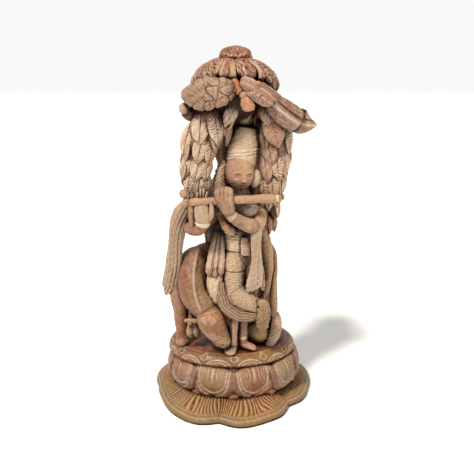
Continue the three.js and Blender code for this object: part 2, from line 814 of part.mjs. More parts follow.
// Joins leave slivers along their seams: short edges are drawn together wherever
// the surface stays closed and no face turns over.
function drawTogether(points, triangles, shortest) {
  const around = points.map(() => new Set());
  triangles.forEach((t, i) => t.forEach((v) => around[v].add(i)));

  function neighbours(v) {
    return new Set([...around[v]].flatMap((i) => triangles[i].filter((w) => w !== v)));
  }

  function turnsOver(from, to) {
    return [...around[from]].some((i) => {
      if (triangles[i].includes(to)) return false;
      const before = faceNormal(triangles[i].map((v) => points[v]));
      const after = faceNormal(triangles[i].map((v) => points[v === from ? to : v]));
      const flat = after.length() < 0.02;
      return flat || before.dot(after) < 0.5 * before.length() * after.length();
    });
  }

  function move(from, to) {
    for (const i of around[from]) {
      if (triangles[i].includes(to)) {
        triangles[i].forEach((v) => v !== from && around[v].delete(i));
        triangles[i] = null;
      } else {
        triangles[i] = triangles[i].map((v) => (v === from ? to : v));
        around[to].add(i);
      }
    }
    around[from].clear();
  }

  const edges = triangles
    .flatMap(([a, b, c]) => [[a, b], [b, c], [c, a]])
    .filter(([a, b]) => a < b)
    .map(([a, b]) => ({ a, b, length: points[a].distanceTo(points[b]) }))
    .filter(({ length }) => length < shortest)
    .sort((p, q) => p.length - q.length);
  for (const { a, b } of edges) {
    const near = neighbours(b);
    const shared = [...neighbours(a)].filter((v) => near.has(v));
    if (!near.has(a) || shared.length !== 2) continue;
    if (!turnsOver(a, b)) move(a, b);
    else if (!turnsOver(b, a)) move(b, a);
  }
  return triangles.filter(Boolean);
}

function carve() {
  const figure = [...cow(), ...dancer(), ...flute(), ...drapery(), ...tree()];
  for (const form of figure) form.scale(part, part, part).translate(0, 0, seatTop);
  const whole = [...plinth(), ...figure].map(solid).reduce((joined, form) => joined.add(form));
  const { vertProperties, triVerts } = whole.getMesh();
  const points = [];
  for (let i = 0; i < vertProperties.length; i += 3) {
    points.push(new THREE.Vector3().fromArray(vertProperties, i));
  }
  let triangles = [];
  for (let i = 0; i < triVerts.length; i += 3) triangles.push([...triVerts.slice(i, i + 3)]);
  triangles = outerShell(triangles);
  for (const shortest of [0.5, 1, 1.5, 2]) triangles = drawTogether(points, triangles, shortest);
  const geometry = new THREE.BufferGeometry();
  geometry.setAttribute("position", new THREE.BufferAttribute(vertProperties, 3));
  geometry.setIndex(triangles.flat());
  geometry.computeVertexNormals();
  return geometry;
}

const stone = new THREE.MeshStandardMaterial({ color: stoneColour, roughness: 0.62, metalness: 0 });
const statue = new THREE.Mesh(carve(), stone);
statue.name = "krishna_figure";

const root = new THREE.Group();
root.add(statue);
export default root;
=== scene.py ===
import math
from types import SimpleNamespace
import bmesh
import bpy
import numpy as np
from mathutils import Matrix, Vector


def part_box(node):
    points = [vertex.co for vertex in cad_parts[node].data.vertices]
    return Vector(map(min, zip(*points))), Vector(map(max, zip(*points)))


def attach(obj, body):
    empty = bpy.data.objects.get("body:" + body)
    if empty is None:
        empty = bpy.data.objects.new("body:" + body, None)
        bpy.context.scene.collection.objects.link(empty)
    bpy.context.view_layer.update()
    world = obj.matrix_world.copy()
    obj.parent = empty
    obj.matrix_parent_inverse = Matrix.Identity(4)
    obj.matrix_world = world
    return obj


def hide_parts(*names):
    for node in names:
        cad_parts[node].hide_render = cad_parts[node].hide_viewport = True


# Frame and scale
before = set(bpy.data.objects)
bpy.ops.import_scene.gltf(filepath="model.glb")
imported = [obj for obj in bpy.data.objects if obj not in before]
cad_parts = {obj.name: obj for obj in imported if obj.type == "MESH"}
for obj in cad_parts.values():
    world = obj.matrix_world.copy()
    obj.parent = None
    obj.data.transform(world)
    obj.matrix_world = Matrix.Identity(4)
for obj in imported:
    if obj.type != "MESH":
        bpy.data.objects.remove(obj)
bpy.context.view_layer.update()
lowCorner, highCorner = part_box("krishna_figure")
figureHeight = 300  # millimetres
mm = (highCorner.z - lowCorner.z) / figureHeight
seatTop = 50
towardViewer = (0, -1, 0)
upward = (0, 0, 1)
tintNames = ("chalk", "rust", "salmon", "ochre", "olive", "grey", "shade")


# Soapstone: warm tan stone with mauve, rust, ochre and olive areas, pale dust in its cuts
stoneSettings = {
    "roughness": 0.47,
    "grain": 0.4,  # strength of the fine grain, the only relief that isn't in the mesh
    # factors on the width, depth and dust of every cut
    "cutWidth": 1.25,
    "cutDepth": 1.6,
    "cutDust": 1.75,
    # painted shade in hollows and creases where forms meet, and dust on edges, found by easing the mesh this
    # many times
    "easingPasses": 30,
    "hollowShade": 0.9,
    "edgeDust": 0.1,
    "tan": (0.25, 0.118, 0.056, 1),
    "pink": (0.225, 0.083, 0.046, 1),
    "brown": (0.075, 0.023, 0.01, 1),
    "worn": (0.48, 0.3, 0.175, 1),
    "rust": (0.16, 0.034, 0.014, 1),
    "salmon": (0.46, 0.135, 0.052, 1),
    "ochre": (0.33, 0.19, 0.04, 1),
    "olive": (0.14, 0.105, 0.04, 1),
    "grey": (0.2, 0.12, 0.095, 1),
    # painted shade: near-black colour of shadows, creases and hollows, also laid in some cuts
    "shade": (0.012, 0.004, 0.002, 1),
    "chalk": (0.62, 0.51, 0.38, 1),
}


# Smooth curves and simple falloffs
def curveAt(rows, t):
    rows = np.array(rows, float)
    far = np.vstack([2 * rows[0] - rows[1], rows, 2 * rows[-1] - rows[-2]])
    place = np.clip(t, 0, 1) * (len(rows) - 1)
    i = np.minimum(place.astype(int), len(rows) - 2)
    f = (place - i)[:, None]
    before, a, b, after = far[i], far[i + 1], far[i + 2], far[i + 3]
    rise = (b - before) / 2
    fall = (after - a) / 2
    return (
        (2 * f**3 - 3 * f**2 + 1) * a
        + (f**3 - 2 * f**2 + f) * rise
        + (3 * f**2 - 2 * f**3) * b
        + (f**3 - f**2) * fall
    )


def unit(v):
    return v / np.maximum(np.linalg.norm(v, axis=1, keepdims=True), 1e-9)


def line(distance, width=0.6):
    return np.clip(1 - np.abs(distance) / (width * stoneSettings["cutWidth"]), 0, 1)


def near(value, pitch):
    return value - np.rint(value / pitch) * pitch


def hill(value, width):
    return np.exp(-((value / width) ** 2))


def ramp(value, low, high):
    return np.clip((value - low) / (high - low), 0, 1)


def readPoints(mesh):
    flat = np.empty(len(mesh.vertices) * 3)
    mesh.vertices.foreach_get("co", flat)
    return flat.reshape(-1, 3)


def setValues(mesh, name, values):
    layer = mesh.attributes.get(name) or mesh.attributes.new(name, "FLOAT", "POINT")
    layer.data.foreach_set("value", np.clip(values, 0, 1).astype(np.float32))


# Slow unevenness of a surface cut by hand
def wobble(x, y, z):
    slow = np.sin(x * 0.31 + z * 0.23) + np.sin(z * 0.37 - y * 0.29 + 1.3)
    slow = slow + np.sin(y * 0.33 + x * 0.19 + 2.1)
    quick = np.sin(x * 1.1 + y * 0.8) + np.sin(z * 1.3 - x * 0.7 + 0.8)
    return 0.12 * slow + 0.09 * quick


# The mesh gets its moved points and its colour values. A colour is a number or a function of s,
# which holds where each point lies on the form.
def finishForm(mesh, points, chalk, tint, s):
    mesh.vertices.foreach_set("co", points.ravel())
    count = len(points)
    for name in tintNames:
        value = tint.get(name, 0)
        if callable(value):
            value = value(s)
        total = np.zeros(count) + value
        if name == "chalk":
            total = total + chalk * stoneSettings["cutDust"]
        setValues(mesh, name, total)
    for polygon in mesh.polygons:
        polygon.use_smooth = True
    return mesh


meshSettings = {
    "pathSteps": 400,
    "roundSteps": 13,
    "rings": (12, 260),  # fewest and most along a form
    "sides": (14, 320),  # fewest and most round it
    "thinnest": 0.3,  # least half-width in millimetres
    "endShare": 0.16,  # most of the length that a rounded end takes
    "carvedAtEnds": 0.15,  # share of the carving that stays at the very ends
}


# A rounded form along a smooth path. A station is x, y, z, half-width and half-depth in millimetres
# above the seat. The carving gives how far each point is raised and how much pale dust lies in it.
# grain: size of a mesh face. facing: the side that is carved. reach: length of the rounded ends.
# dense: how much finer the carved side is. lift: height of the stations' zero. depth: share of the
# carving's depth. trim: moves the finished points. crisp: under 1 the section gets squarer.
# The colour names with their amounts come last.
def form(stations, carve=None, grain=0.75, facing=towardViewer, reach=None, dense=0.45, lift=seatTop,
         depth=1.0, trim=None, crisp=1.0, **tint):
    cfg = meshSettings
    rows = np.array(stations, float)
    fine = np.linspace(0, 1, cfg["pathSteps"])
    path = curveAt(rows[:, :3], fine)
    gone = np.concatenate([[0], np.cumsum(np.linalg.norm(np.diff(path, axis=0), axis=1))])
    length = gone[-1]
    widest = rows[:, 3:].max()
    ringCount = int(np.clip(length / grain, *cfg["rings"]))
    sideCount = int(np.clip(2 * math.pi * widest * (1 - dense) / grain, *cfg["sides"]))
    bm = bmesh.new()
    bmesh.ops.create_uvsphere(bm, u_segments=sideCount, v_segments=ringCount, radius=1)
    mesh = bpy.data.meshes.new("form")
    bm.to_mesh(mesh)
    bm.free()
    ball = readPoints(mesh)
    ring = np.rint(np.arccos(np.clip(ball[:, 2], -1, 1)) / math.pi * ringCount)
    pole = (ring == 0) | (ring == ringCount)
    along = np.clip((ring - 0.5) / (ringCount - 1), 0, 1) * length
    t = np.interp(along, gone, fine)
    centre = curveAt(rows[:, :3], t)
    ahead = curveAt(rows[:, :3], np.minimum(t + 0.004, 1))
    tangent = unit(ahead - curveAt(rows[:, :3], np.maximum(t - 0.004, 0)))
    across = unit(np.cross(tangent, np.array(facing, float)))
    outward = np.cross(across, tangent)
    w, d = np.maximum(curveAt(rows[:, 3:], t), cfg["thinnest"]).T
    fromEnd = np.minimum(along, length - along)
    cap = np.minimum((w + d) / 2, cfg["endShare"] * length) if reach is None else reach
    shrink = np.sqrt(np.clip(1 - np.clip(1 - fromEnd / cap, 0, 1) ** 2, 0, 1))
    shrink[pole] = 0
    turn = np.arctan2(ball[:, 1], ball[:, 0])
    turn = turn + dense * np.cos(turn)
    cosine = np.sign(np.cos(turn)) * np.abs(np.cos(turn)) ** crisp
    sine = np.sign(np.sin(turn)) * np.abs(np.sin(turn)) ** crisp
    x = (cosine * w * shrink)[:, None]
    y = (sine * d * shrink)[:, None]
    base = centre + across * x + outward * y
    normal = unit(across * (np.cos(turn) / w)[:, None] + outward * (np.sin(turn) / d)[:, None])
    normal[pole] = (tangent * np.where(ring == 0, -1, 1)[:, None])[pole]
    # millimetres round the section, counted from the middle of the carved side
    swing = (turn - math.pi / 2 + math.pi) % (2 * math.pi) - math.pi
    steps = math.pi / 2 + swing[:, None] * np.linspace(0, 1, cfg["roundSteps"])[None, :]
    pace = np.sqrt((w[:, None] * np.sin(steps)) ** 2 + (d[:, None] * np.cos(steps)) ** 2).mean(axis=1)
    s = SimpleNamespace(
        along=along, around=-swing * pace * shrink, length=length, face=np.sin(turn), side=np.cos(turn),
        x=base[:, 0], y=base[:, 1], z=base[:, 2],
    )
    raised, chalk = carve(s) if carve else (0, 0)
    raised = raised * stoneSettings["cutDepth"] * depth + wobble(*base.T)
    points = base + normal * (raised * np.maximum(shrink, cfg["carvedAtEnds"]))[:, None]
    if trim:
        trim(points)
    points[:, 2] += lift
    return finishForm(mesh, points, chalk, tint, s)


def ballForm(x, y, z, rx, ry, rz, **more):
    stations = [[x, y, z + rz, rx, ry], [x, y, z, rx, ry], [x, y, z - rz, rx, ry]]
    return form(stations, reach=rz, **more)


# A turned form: the profile is spun round the upright axis, then stretched for each angle.
def turned(profile, steps, shape, carve, shift=0, **tint):
    bm = bmesh.new()
    points = [bm.verts.new((r, 0, z)) for r, z in profile]
    edges = [bm.edges.new(pair) for pair in zip(points, points[1:])]
    bmesh.ops.spin(
        bm, geom=points + edges, angle=2 * math.pi, steps=steps, axis=upward, cent=(0, 0, 0), use_merge=True,
    )
    bmesh.ops.remove_doubles(bm, verts=bm.verts, dist=1e-4)
    bmesh.ops.recalc_face_normals(bm, faces=bm.faces)
    mesh = bpy.data.meshes.new("turned")
    bm.to_mesh(mesh)
    bm.free()
    base = readPoints(mesh)
    radius = np.hypot(base[:, 0], base[:, 1])
    angle = np.arctan2(base[:, 1], base[:, 0])
    sx, sy = shape(angle)
    rows = np.array(profile, float)
    gap = np.abs(radius[:, None] - rows[None, :, 0]) + np.abs(base[:, 2][:, None] - rows[None, :, 1])
    at = gap.argmin(axis=1)
    slope = np.gradient(rows, axis=0)
    lean = unit(np.stack([slope[:, 1], -slope[:, 0]], axis=1))[at]
    s = SimpleNamespace(r=radius, angle=angle, degrees=np.degrees(angle) % 360, z=base[:, 2])
    raised, chalk = carve(s)
    x, y = base[:, 0] * sx, base[:, 1] * sy
    raised = raised + 0.6 * wobble(x, y, s.z) * (s.z > 0.5)
    points = np.stack([x + shift, y, s.z], axis=1)
    points[:, 0] += np.cos(angle) * lean[:, 0] * raised
    points[:, 1] += np.sin(angle) * lean[:, 0] * raised
    points[:, 2] += lean[:, 1] * raised
    s.z = points[:, 2]
    return finishForm(mesh, points, chalk, tint, s)


# Points along the corners, each stretch in equal steps of about its own spacing
def profileThrough(corners, spacing):
    rows = [corners[0]]
    for (a, b), step in zip(zip(corners, corners[1:]), spacing):
        count = max(1, round(math.dist(a, b) / step))
        for i in range(1, count + 1):
            rows.append((a[0] + (b[0] - a[0]) * i / count, a[1] + (b[1] - a[1]) * i / count))
    return rows


def soapstone():
    cfg = stoneSettings
    material = bpy.data.materials.new("soapstone")
    material.use_nodes = True
    nodes = material.node_tree.nodes
    links = material.node_tree.links
    nodes.clear()
    output = nodes.new("ShaderNodeOutputMaterial")
    shader = nodes.new("ShaderNodeBsdfPrincipled")
    shader.inputs["IOR"].default_value = 1.48
    links.new(shader.outputs[0], output.inputs[0])
    place = nodes.new("ShaderNodeTexCoord").outputs["Object"]

    def cloud(scale, detail, roughness=0.55, stretch=(1.0, 1.0, 1.0)):
        aimed = nodes.new("ShaderNodeMapping")
        aimed.inputs["Scale"].default_value = stretch
        aimed.inputs["Rotation"].default_value = (0.5, 0.4, 0)
        links.new(place, aimed.inputs["Vector"])
        node = nodes.new("ShaderNodeTexNoise")
        node.inputs["Scale"].default_value = scale
        node.inputs["Detail"].default_value = detail
        node.inputs["Roughness"].default_value = roughness
        links.new(aimed.outputs[0], node.inputs["Vector"])
        return node.outputs["Fac"]

    def spread(value, low, high, to0=0.0, to1=1.0):
        node = nodes.new("ShaderNodeMapRange")
        node.inputs["From Min"].default_value = low
        node.inputs["From Max"].default_value = high
        node.inputs["To Min"].default_value = to0
        node.inputs["To Max"].default_value = to1
        links.new(value, node.inputs["Value"])
        return node.outputs["Result"]

    def times(a, b):
        node = nodes.new("ShaderNodeMath")
        node.operation = "MULTIPLY"
        node.use_clamp = True
        links.new(a, node.inputs[0])
        links.new(b, node.inputs[1])
        return node.outputs[0]

    def blend(share, a, b):
        node = nodes.new("ShaderNodeMix")
        node.data_type = "RGBA"
        links.new(share, node.inputs["Factor"])
        for socket, value in ((node.inputs[6], a), (node.inputs[7], b)):
            if isinstance(value, tuple):
                socket.default_value = value
            else:
                links.new(value, socket)
        return node.outputs[2]

    def amount(name):
        node = nodes.new("ShaderNodeAttribute")
        node.attribute_type = "GEOMETRY"
        node.attribute_name = name
        return node.outputs["Fac"]

    patches = cloud(38, 3)
    tone = cloud(62, 4, 0.6, (1.0, 1.0, 0.7))
    mottle = cloud(150, 5, 0.65)
    speck = cloud(900, 3, 0.7)
    streaks = cloud(75, 4, 0.6, (1.0, 1.0, 0.4))
    tooth = cloud(430, 4, 0.62)
    colour = blend(spread(patches, 0.4, 0.62), cfg["tan"], cfg["pink"])
    colour = blend(spread(tone, 0.52, 0.64, 0, 0.45), colour, cfg["olive"])
    colour = blend(spread(tone, 0.47, 0.36, 0, 0.5), colour, cfg["grey"])
    colour = blend(spread(mottle, 0.48, 0.7, 0, 0.6), colour, cfg["brown"])
    colour = blend(spread(streaks, 0.5, 0.68, 0, 0.55), colour, cfg["rust"])
    colour = blend(spread(streaks, 0.44, 0.3, 0, 0.5), colour, cfg["worn"])
    for name in ("grey", "olive", "ochre", "salmon", "rust"):
        share = times(amount(name), spread(mottle, 0.3, 0.6, 0.55, 1.0))
        colour = blend(share, colour, cfg[name])
    colour = blend(spread(tooth, 0.5, 0.68, 0, 0.34), colour, cfg["brown"])
    colour = blend(spread(tooth, 0.48, 0.34, 0, 0.24), colour, cfg["worn"])
    dust = times(amount("chalk"), spread(speck, 0.3, 0.6, 0.6, 1.0))
    colour = blend(dust, colour, cfg["chalk"])
    # edges are made a little paler, partly rubbed wear and partly painted highlight; then the shade values
    # darken toward near black (painted shade, shadow and dark cuts)
    geometry = nodes.new("ShaderNodeNewGeometry")
    worn = spread(geometry.outputs["Pointiness"], 0.52, 0.62, 0, 0.45)
    colour = blend(worn, colour, cfg["worn"])
    colour = blend(amount("shade"), colour, cfg["shade"])
    # painted shade from occlusion: recesses turn warm brown, then near black, and lose sheen
    occlusionShade = nodes.new("ShaderNodeAmbientOcclusion")
    occlusionShade.samples = 8
    occlusionShade.inputs["Distance"].default_value = 0.016
    warm = spread(occlusionShade.outputs["AO"], 0.85, 0.5, 0, 0.55)
    colour = blend(warm, colour, cfg["brown"])
    deep = spread(occlusionShade.outputs["AO"], 0.64, 0.28, 0, 0.97)
    colour = blend(deep, colour, cfg["shade"])
    links.new(colour, shader.inputs["Base Color"])
    gloss = spread(mottle, 0.3, 0.7, cfg["roughness"] - 0.1, cfg["roughness"] + 0.14)
    links.new(gloss, shader.inputs["Roughness"])
    links.new(spread(occlusionShade.outputs["AO"], 0.3, 0.85, 0.02, 0.26), shader.inputs["Specular IOR Level"])
    bump = nodes.new("ShaderNodeBump")
    bump.inputs["Strength"].default_value = cfg["grain"]
    bump.inputs["Distance"].default_value = 0.0008
    links.new(tooth, bump.inputs["Height"])
    links.new(bump.outputs[0], shader.inputs["Normal"])
    return material


stone = soapstone()


# The forms of a piece become one closed skin; pockets sealed inside it are dropped.
def outerSkin(mesh):
    bm = bmesh.new()
    bm.from_mesh(mesh)
    bmesh.ops.remove_doubles(bm, verts=bm.verts, dist=1e-5)
    bmesh.ops.triangulate(bm, faces=bm.faces)
    seen = set()
    dropped = 0
    for start in list(bm.verts):
        if start in seen:
            continue
        seen.add(start)
        shell = [start]
        for vert in shell:
            for edge in vert.link_edges:
                other = edge.other_vert(vert)
                if other not in seen:
                    seen.add(other)
                    shell.append(other)
        faces = {face for vert in shell for face in vert.link_faces}
        volume = sum(f.verts[0].co.cross(f.verts[1].co).dot(f.verts[2].co) for f in faces) / 6
        if volume < 1:
            dropped += 1
            bmesh.ops.delete(bm, geom=shell, context="VERTS")
    for face in bm.faces:
        face.smooth = True
    bm.to_mesh(mesh)
    bm.free()
    return dropped


# Painted shade darkens the creases where forms meet, and edges that stand out are rubbed pale.
def creaseShadeAndEdgeDust(mesh, points):
    count = len(points)
    ends = np.empty(len(mesh.edges) * 2, dtype=np.int64)
    mesh.edges.foreach_get("vertices", ends)
    a, b = ends.reshape(-1, 2).T
    weight = np.maximum(np.bincount(a, minlength=count) + np.bincount(b, minlength=count), 1)
    normals = np.empty(count * 3)
    mesh.vertices.foreach_get("normal", normals)
    normals = normals.reshape(-1, 3)
    eased = points.copy()
    for _ in range(stoneSettings["easingPasses"]):
        for axis in range(3):
            value = eased[:, axis]
            total = np.bincount(a, value[b], count) + np.bincount(b, value[a], count)
            eased[:, axis] = (value + total / weight) / 2
    hollow = ((eased - points) * normals).sum(axis=1)
    creaseShade = stoneSettings["hollowShade"] * ramp(hollow, 0.1, 0.7)
    dust = stoneSettings["edgeDust"] * ramp(-hollow, 0.1, 0.6)
    for name, share in (("shade", creaseShade), ("chalk", dust)):
        values = np.empty(count)
        mesh.attributes[name].data.foreach_get("value", values)
        setValues(mesh, name, values + share)


# One piece from its forms. A spot is a colour, x, y, z above the floor, size and strength; spots of shade
# are painted shadows.
def joined(name, meshes, spots):
    inset = 0.02  # keeps the skin just inside the solid's box
    group = bpy.data.collections.new(name + "Forms")
    forms = [bpy.data.objects.new(f"{name}{i}", mesh) for i, mesh in enumerate(meshes)]
    for other in forms[1:]:
        group.objects.link(other)
    base = forms[0]
    bpy.context.scene.collection.objects.link(base)
    union = base.modifiers.new("union", "BOOLEAN")
    union.operation = "UNION"
    union.operand_type = "COLLECTION"
    union.collection = group
    union.solver = "MANIFOLD"
    graph = bpy.context.evaluated_depsgraph_get()
    result = base.evaluated_get(graph)
    whole = bpy.data.meshes.new_from_object(result, preserve_all_data_layers=True, depsgraph=graph)
    for other in forms:
        bpy.data.objects.remove(other)
    bpy.data.collections.remove(group)
    for mesh in meshes:
        bpy.data.meshes.remove(mesh)
    dropped = outerSkin(whole)
    points = readPoints(whole)
    for tint, x, y, z, size, strength in spots:
        layer = whole.attributes[tint]
        values = np.empty(len(points))
        layer.data.foreach_get("value", values)
        away = np.linalg.norm(points - np.array([x, y, z], float), axis=1)
        setValues(whole, tint, values + strength * hill(away, size))
    creaseShadeAndEdgeDust(whole, points)
    low = np.array(lowCorner) / mm + (inset, inset, 0)
    points = np.clip(points, low, np.array(highCorner) / mm - inset)
    whole.vertices.foreach_set("co", (points * mm).ravel())
    whole.materials.clear()
    whole.materials.append(stone)
    whole.update()
    piece = bpy.data.objects.new(name, whole)
    bpy.context.scene.collection.objects.link(piece)
    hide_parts("krishna_figure")
    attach(piece, "root")
    count = sum(len(p.vertices) - 2 for p in whole.polygons)
    print(f"{name}: {len(meshes)} forms, {count} triangles, {dropped} pockets dropped")


# Lotus plinth: lobed bottom leaf, drooping petals, round seat
plinthSettings = {
    "skirtRadius": 75,
    "rim": 5,
    "petalWidth": 57,
    "petalDepth": 51,
    "petals": 10,
    "petalRise": 24,
    "seatWidth": 56,
    "seatDepth": 46,
    "seatShift": -2,
    "ribs": 132,
    "ribDepth": 0.42,
    "lobes": [
        [[260, 0.907], [275, 0.993], [292, 0.953], [306, 0.92], [320, 0.827]],
        [[320, 0.827], [334, 0.893], [352, 0.907], [377, 0.973], [392, 0.973], [405, 0.893]],
        [[45, 0.893], [60, 0.96], [78, 0.98], [95, 0.96], [110, 0.893]],
        [[110, 0.893], [127, 0.973], [145, 0.987], [164, 0.987], [185, 0.913]],
        [[185, 0.913], [203, 0.92], [227, 0.98], [246, 1], [260, 0.907]],
    ],
    "midribs": [285, 372, 78, 150, 236],
    "arches": 13,
    # petals that are redder or greener than the rest, by their place in the row
    "warm": {0.5: 1.3, 9.5: 0.2, 8.5: 1.0, 1.5: 0.1},
    "cool": {0.5: 0.1, 9.5: 0.8, 8.5: 0.1, 1.5: 0.8},
    # the shade spot is a painted shadow on the seat under the cow's head
    "spots": [
        ("rust", -10, -56, 12, 9, 0.3), ("salmon", 24, -54, 13, 12, 0.6), ("salmon", 46, -40, 13, 8, 0.4),
        ("rust", -48, -36, 12, 8, 0.5), ("ochre", 30, -50, 14, 12, 0.5), ("salmon", 2, -54, 14, 6, 0.6),
        ("ochre", 12, -42, 50, 12, 0.5), ("ochre", 14, -66, 11, 12, 0.6), ("ochre", -40, -50, 10, 12, 0.5),
        ("grey", 52, -42, 7, 10, 0.5), ("olive", -62, -30, 8, 14, 0.3), ("olive", 62, -10, 8, 16, 0.3),
        ("olive", 0, -70, 6, 12, 0.25), ("salmon", -34, -52, 11, 9, 0.5), ("shade", -14, -30, 50, 7, 0.35),
        ("ochre", 30, -36, 49, 12, 0.5), ("grey", -60, -36, 8, 12, 0.5),
    ],
}


# How far the bottom leaf reaches at each angle, as a share of its radius
def lobeShare(angle):
    turns = np.degrees(angle) % 360
    share = np.ones(len(turns))
    for lobe in plinthSettings["lobes"]:
        low = lobe[0][0]
        a = np.where(turns < low, turns + 360, turns)
        inside = (a >= low) & (a <= lobe[-1][0])
        stops = np.array(lobe, float)
        t = np.interp(a, stops[:, 0], np.linspace(0, 1, len(lobe)))
        share = np.where(inside, curveAt(stops, t)[:, 1], share)
    return share


def skirtForm():
    cfg = plinthSettings
    radius = cfg["skirtRadius"]

    def carve(s):
        turns = s.degrees
        lean = np.zeros(len(turns))
        mid = np.full(len(turns), 99.0)
        for lobe, rib in zip(cfg["lobes"], cfg["midribs"]):
            a = np.where(turns < lobe[0][0], turns + 360, turns)
            inside = (a >= lobe[0][0]) & (a <= lobe[-1][0])
            before = np.clip((rib - a) / (rib - lobe[0][0]), 0, 1)
            after = np.clip((a - rib) / (lobe[-1][0] - rib), 0, 1)
            sway = 0.06 * (np.sin(math.pi * before) - np.sin(math.pi * after))
            lean = np.where(inside, sway, lean)
            mid = np.where(inside, np.abs(a - rib), mid)
        out = ramp(s.r, radius * 0.62, radius * 0.93)
        phase = s.angle + lean * (0.4 * out + 1.2 * out**2) + 0.016 * np.sin(s.angle * 17 + out * 4)
        wave = phase * cfg["ribs"] + 0.8 * np.sin(phase * 19) + 0.5 * np.sin(phase * 37 + out * 2.5 + 1)
        top = (s.z > cfg["rim"] * 0.9) & (s.r < radius * 0.925)
        fade = ramp(s.r, radius * 0.925, radius * 0.89) * (s.r > radius * 0.55)
        ridge = np.cos(wave)
        lip = (line(s.r - radius * 0.968, 0.5) + line(s.r - radius * 0.925, 0.4)) * (s.z > cfg["rim"] * 0.7)
        lip = lip + line(s.z - 2.6, 0.3) * (s.r > radius * 0.98)
        s.groove = np.where(top, np.clip(-ridge, 0, 1) * fade, 0)
        s.ridge = np.where(top, np.clip(ridge, 0, 1) * fade, 0)
        s.lip = ramp(s.r, radius * 0.91, radius * 0.93) * (s.z > cfg["rim"] * 0.8)
        raised = np.where(top, cfg["ribDepth"] * ridge * fade - 0.25 * hill(mid, 0.8) * fade, 0)
        chalk = 0.26 * lip + 0.22 * s.ridge**3
        return raised, chalk

    tint = {
        "ochre": lambda s: np.where(s.lip > 0, 0.15, 0.95) + 0.3 * s.ridge,
        "olive": lambda s: 0.3 * s.groove + 0.7 * (s.z < 5.2) + 0.3,
        # painted shade: the leaf is darkened all over and more on its low upright rim; its grooves a little
        # darker too
        "shade": lambda s: 0.18 * s.groove + 0.3 * (s.z < 4.6) + 0.24,
        "rust": lambda s: 0.2 * s.groove,
        "grey": lambda s: 0.9 * s.lip,
        "salmon": lambda s: 0.15 * ramp(s.r, radius * 0.8, radius * 0.7),
    }
    corners = [(0, 0), (radius * 0.9, 0), (radius * 0.985, 0), (radius, 2.5), (radius * 0.98, 5)]
    corners += [(radius * 0.72, 14), (radius * 0.55, 15.2), (0, 16.8)]
    profile = profileThrough(corners, [20, 4, 1.3, 1.2, 0.62, 1.5, 14])
    return turned(profile, 640, lambda a: [lobeShare(a)] * 2, carve, **tint)


# A whole petal, or at less than full breadth the narrow one that shows between two
def petalForm(index, breadth):
    cfg = plinthSettings
    turn = math.radians(index / cfg["petals"] * 360 - 90)
    cx, cy = math.cos(turn), math.sin(turn)
    half = (cfg["petalWidth"] + cfg["petalDepth"]) * math.pi / (2 * cfg["petals"])
    thickness = cfg["petalWidth"] * 0.08
    whole = breadth == 1
    # share of the row's radius, share of the rise, width and thickness
    rows = [
        [0.84, 1.06, 1.08, 0.6], [0.92, 0.84, 1.2, 0.85], [0.945, 0.54, 1.17, 0.95],
        [0.93, 0.24, 0.98, 0.9], [0.895, 0.04, 0.62, 0.75], [0.87, -0.06, 0.2, 0.25],
    ]
    if not whole:
        rows = [
            [0.84, 1.02, 1.3, 0.7], [0.905, 0.6, 1.2, 0.9], [0.93, 0.1, 1.0, 0.9], [0.94, -0.02, 0.5, 0.7],
            [0.94, -0.12, 0.1, 0.3],
        ]
    stations = [
        [cfg["petalWidth"] * o * cx, cfg["petalDepth"] * o * cy, 14 + cfg["petalRise"] * u,
         half * w * breadth, thickness * (d if whole else d * 0.8)]
        for o, u, w, d in rows
    ]

    def carve(s):
        down = s.along - 5  # below the petal's bend
        wide, long = (13, 19) if whole else (4.4, 13)
        cusp = 1.3 * hill(s.around, 1.6)
        lengthwise = np.clip((down - cusp) / long, 0, 2)
        reachOut = (np.abs(s.around / wide) ** 2.3 + lengthwise**2.3) ** (1 / 2.3)
        size = wide if whole else 4
        outer = line((reachOut - 0.94) * size, 0.8)
        inner = line((reachOut - 0.74) * size, 0.65) if whole else 0 * outer
        fan = s.around / np.maximum(1.25 - 0.05 * down, 0.4)
        veins = line(near(fan, 1.6), 0.32) * (reachOut < 0.7) * ramp(down, 9.5, 3) if whole else 0 * outer
        front = s.face > 0.1
        s.border = ramp(reachOut, 0.74, 0.98) * front
        s.heart = ramp(reachOut, 0.7, 0.5) * front
        s.low = ramp(s.along, 21, 26) * front
        raised = -0.45 * outer - 0.4 * inner - 0.3 * veins + 0.3 * ramp(reachOut, 0.7, 0.5)
        return raised * front, (0.6 * outer + 0.6 * inner + 0.4 * veins) * front

    warm = cfg["warm"].get(index, 0.4)
    cool = cfg["cool"].get(index, 0.3)
    tint = {
        "rust": lambda s: 0.3 * s.border + 0.55 * warm * s.heart,
        "salmon": lambda s: 0.7 * warm * s.low + 0.12 * warm * s.heart,
        "grey": lambda s: 0.7 * s.border * (1 - s.low),
        # painted shade: each petal is darkened all over and more at its sides, where petals meet
        "shade": lambda s: 0.22 + 0.3 * ramp(np.abs(s.side), 0.93, 1.0),
        "olive": lambda s: cool * s.heart,
        "ochre": lambda s: 0.25 * s.heart,
    }
    if not whole:
        tipRed = lambda s: 0.42 * ramp(s.length - s.along, 8, 5)
        tint = {"rust": 0.2, "salmon": tipRed, "grey": 0.3, "chalk": 0.08}
    return form(stations, carve, 0.6 if whole else 0.7, (cx, cy, 0), lift=0, crisp=0.68, **tint)


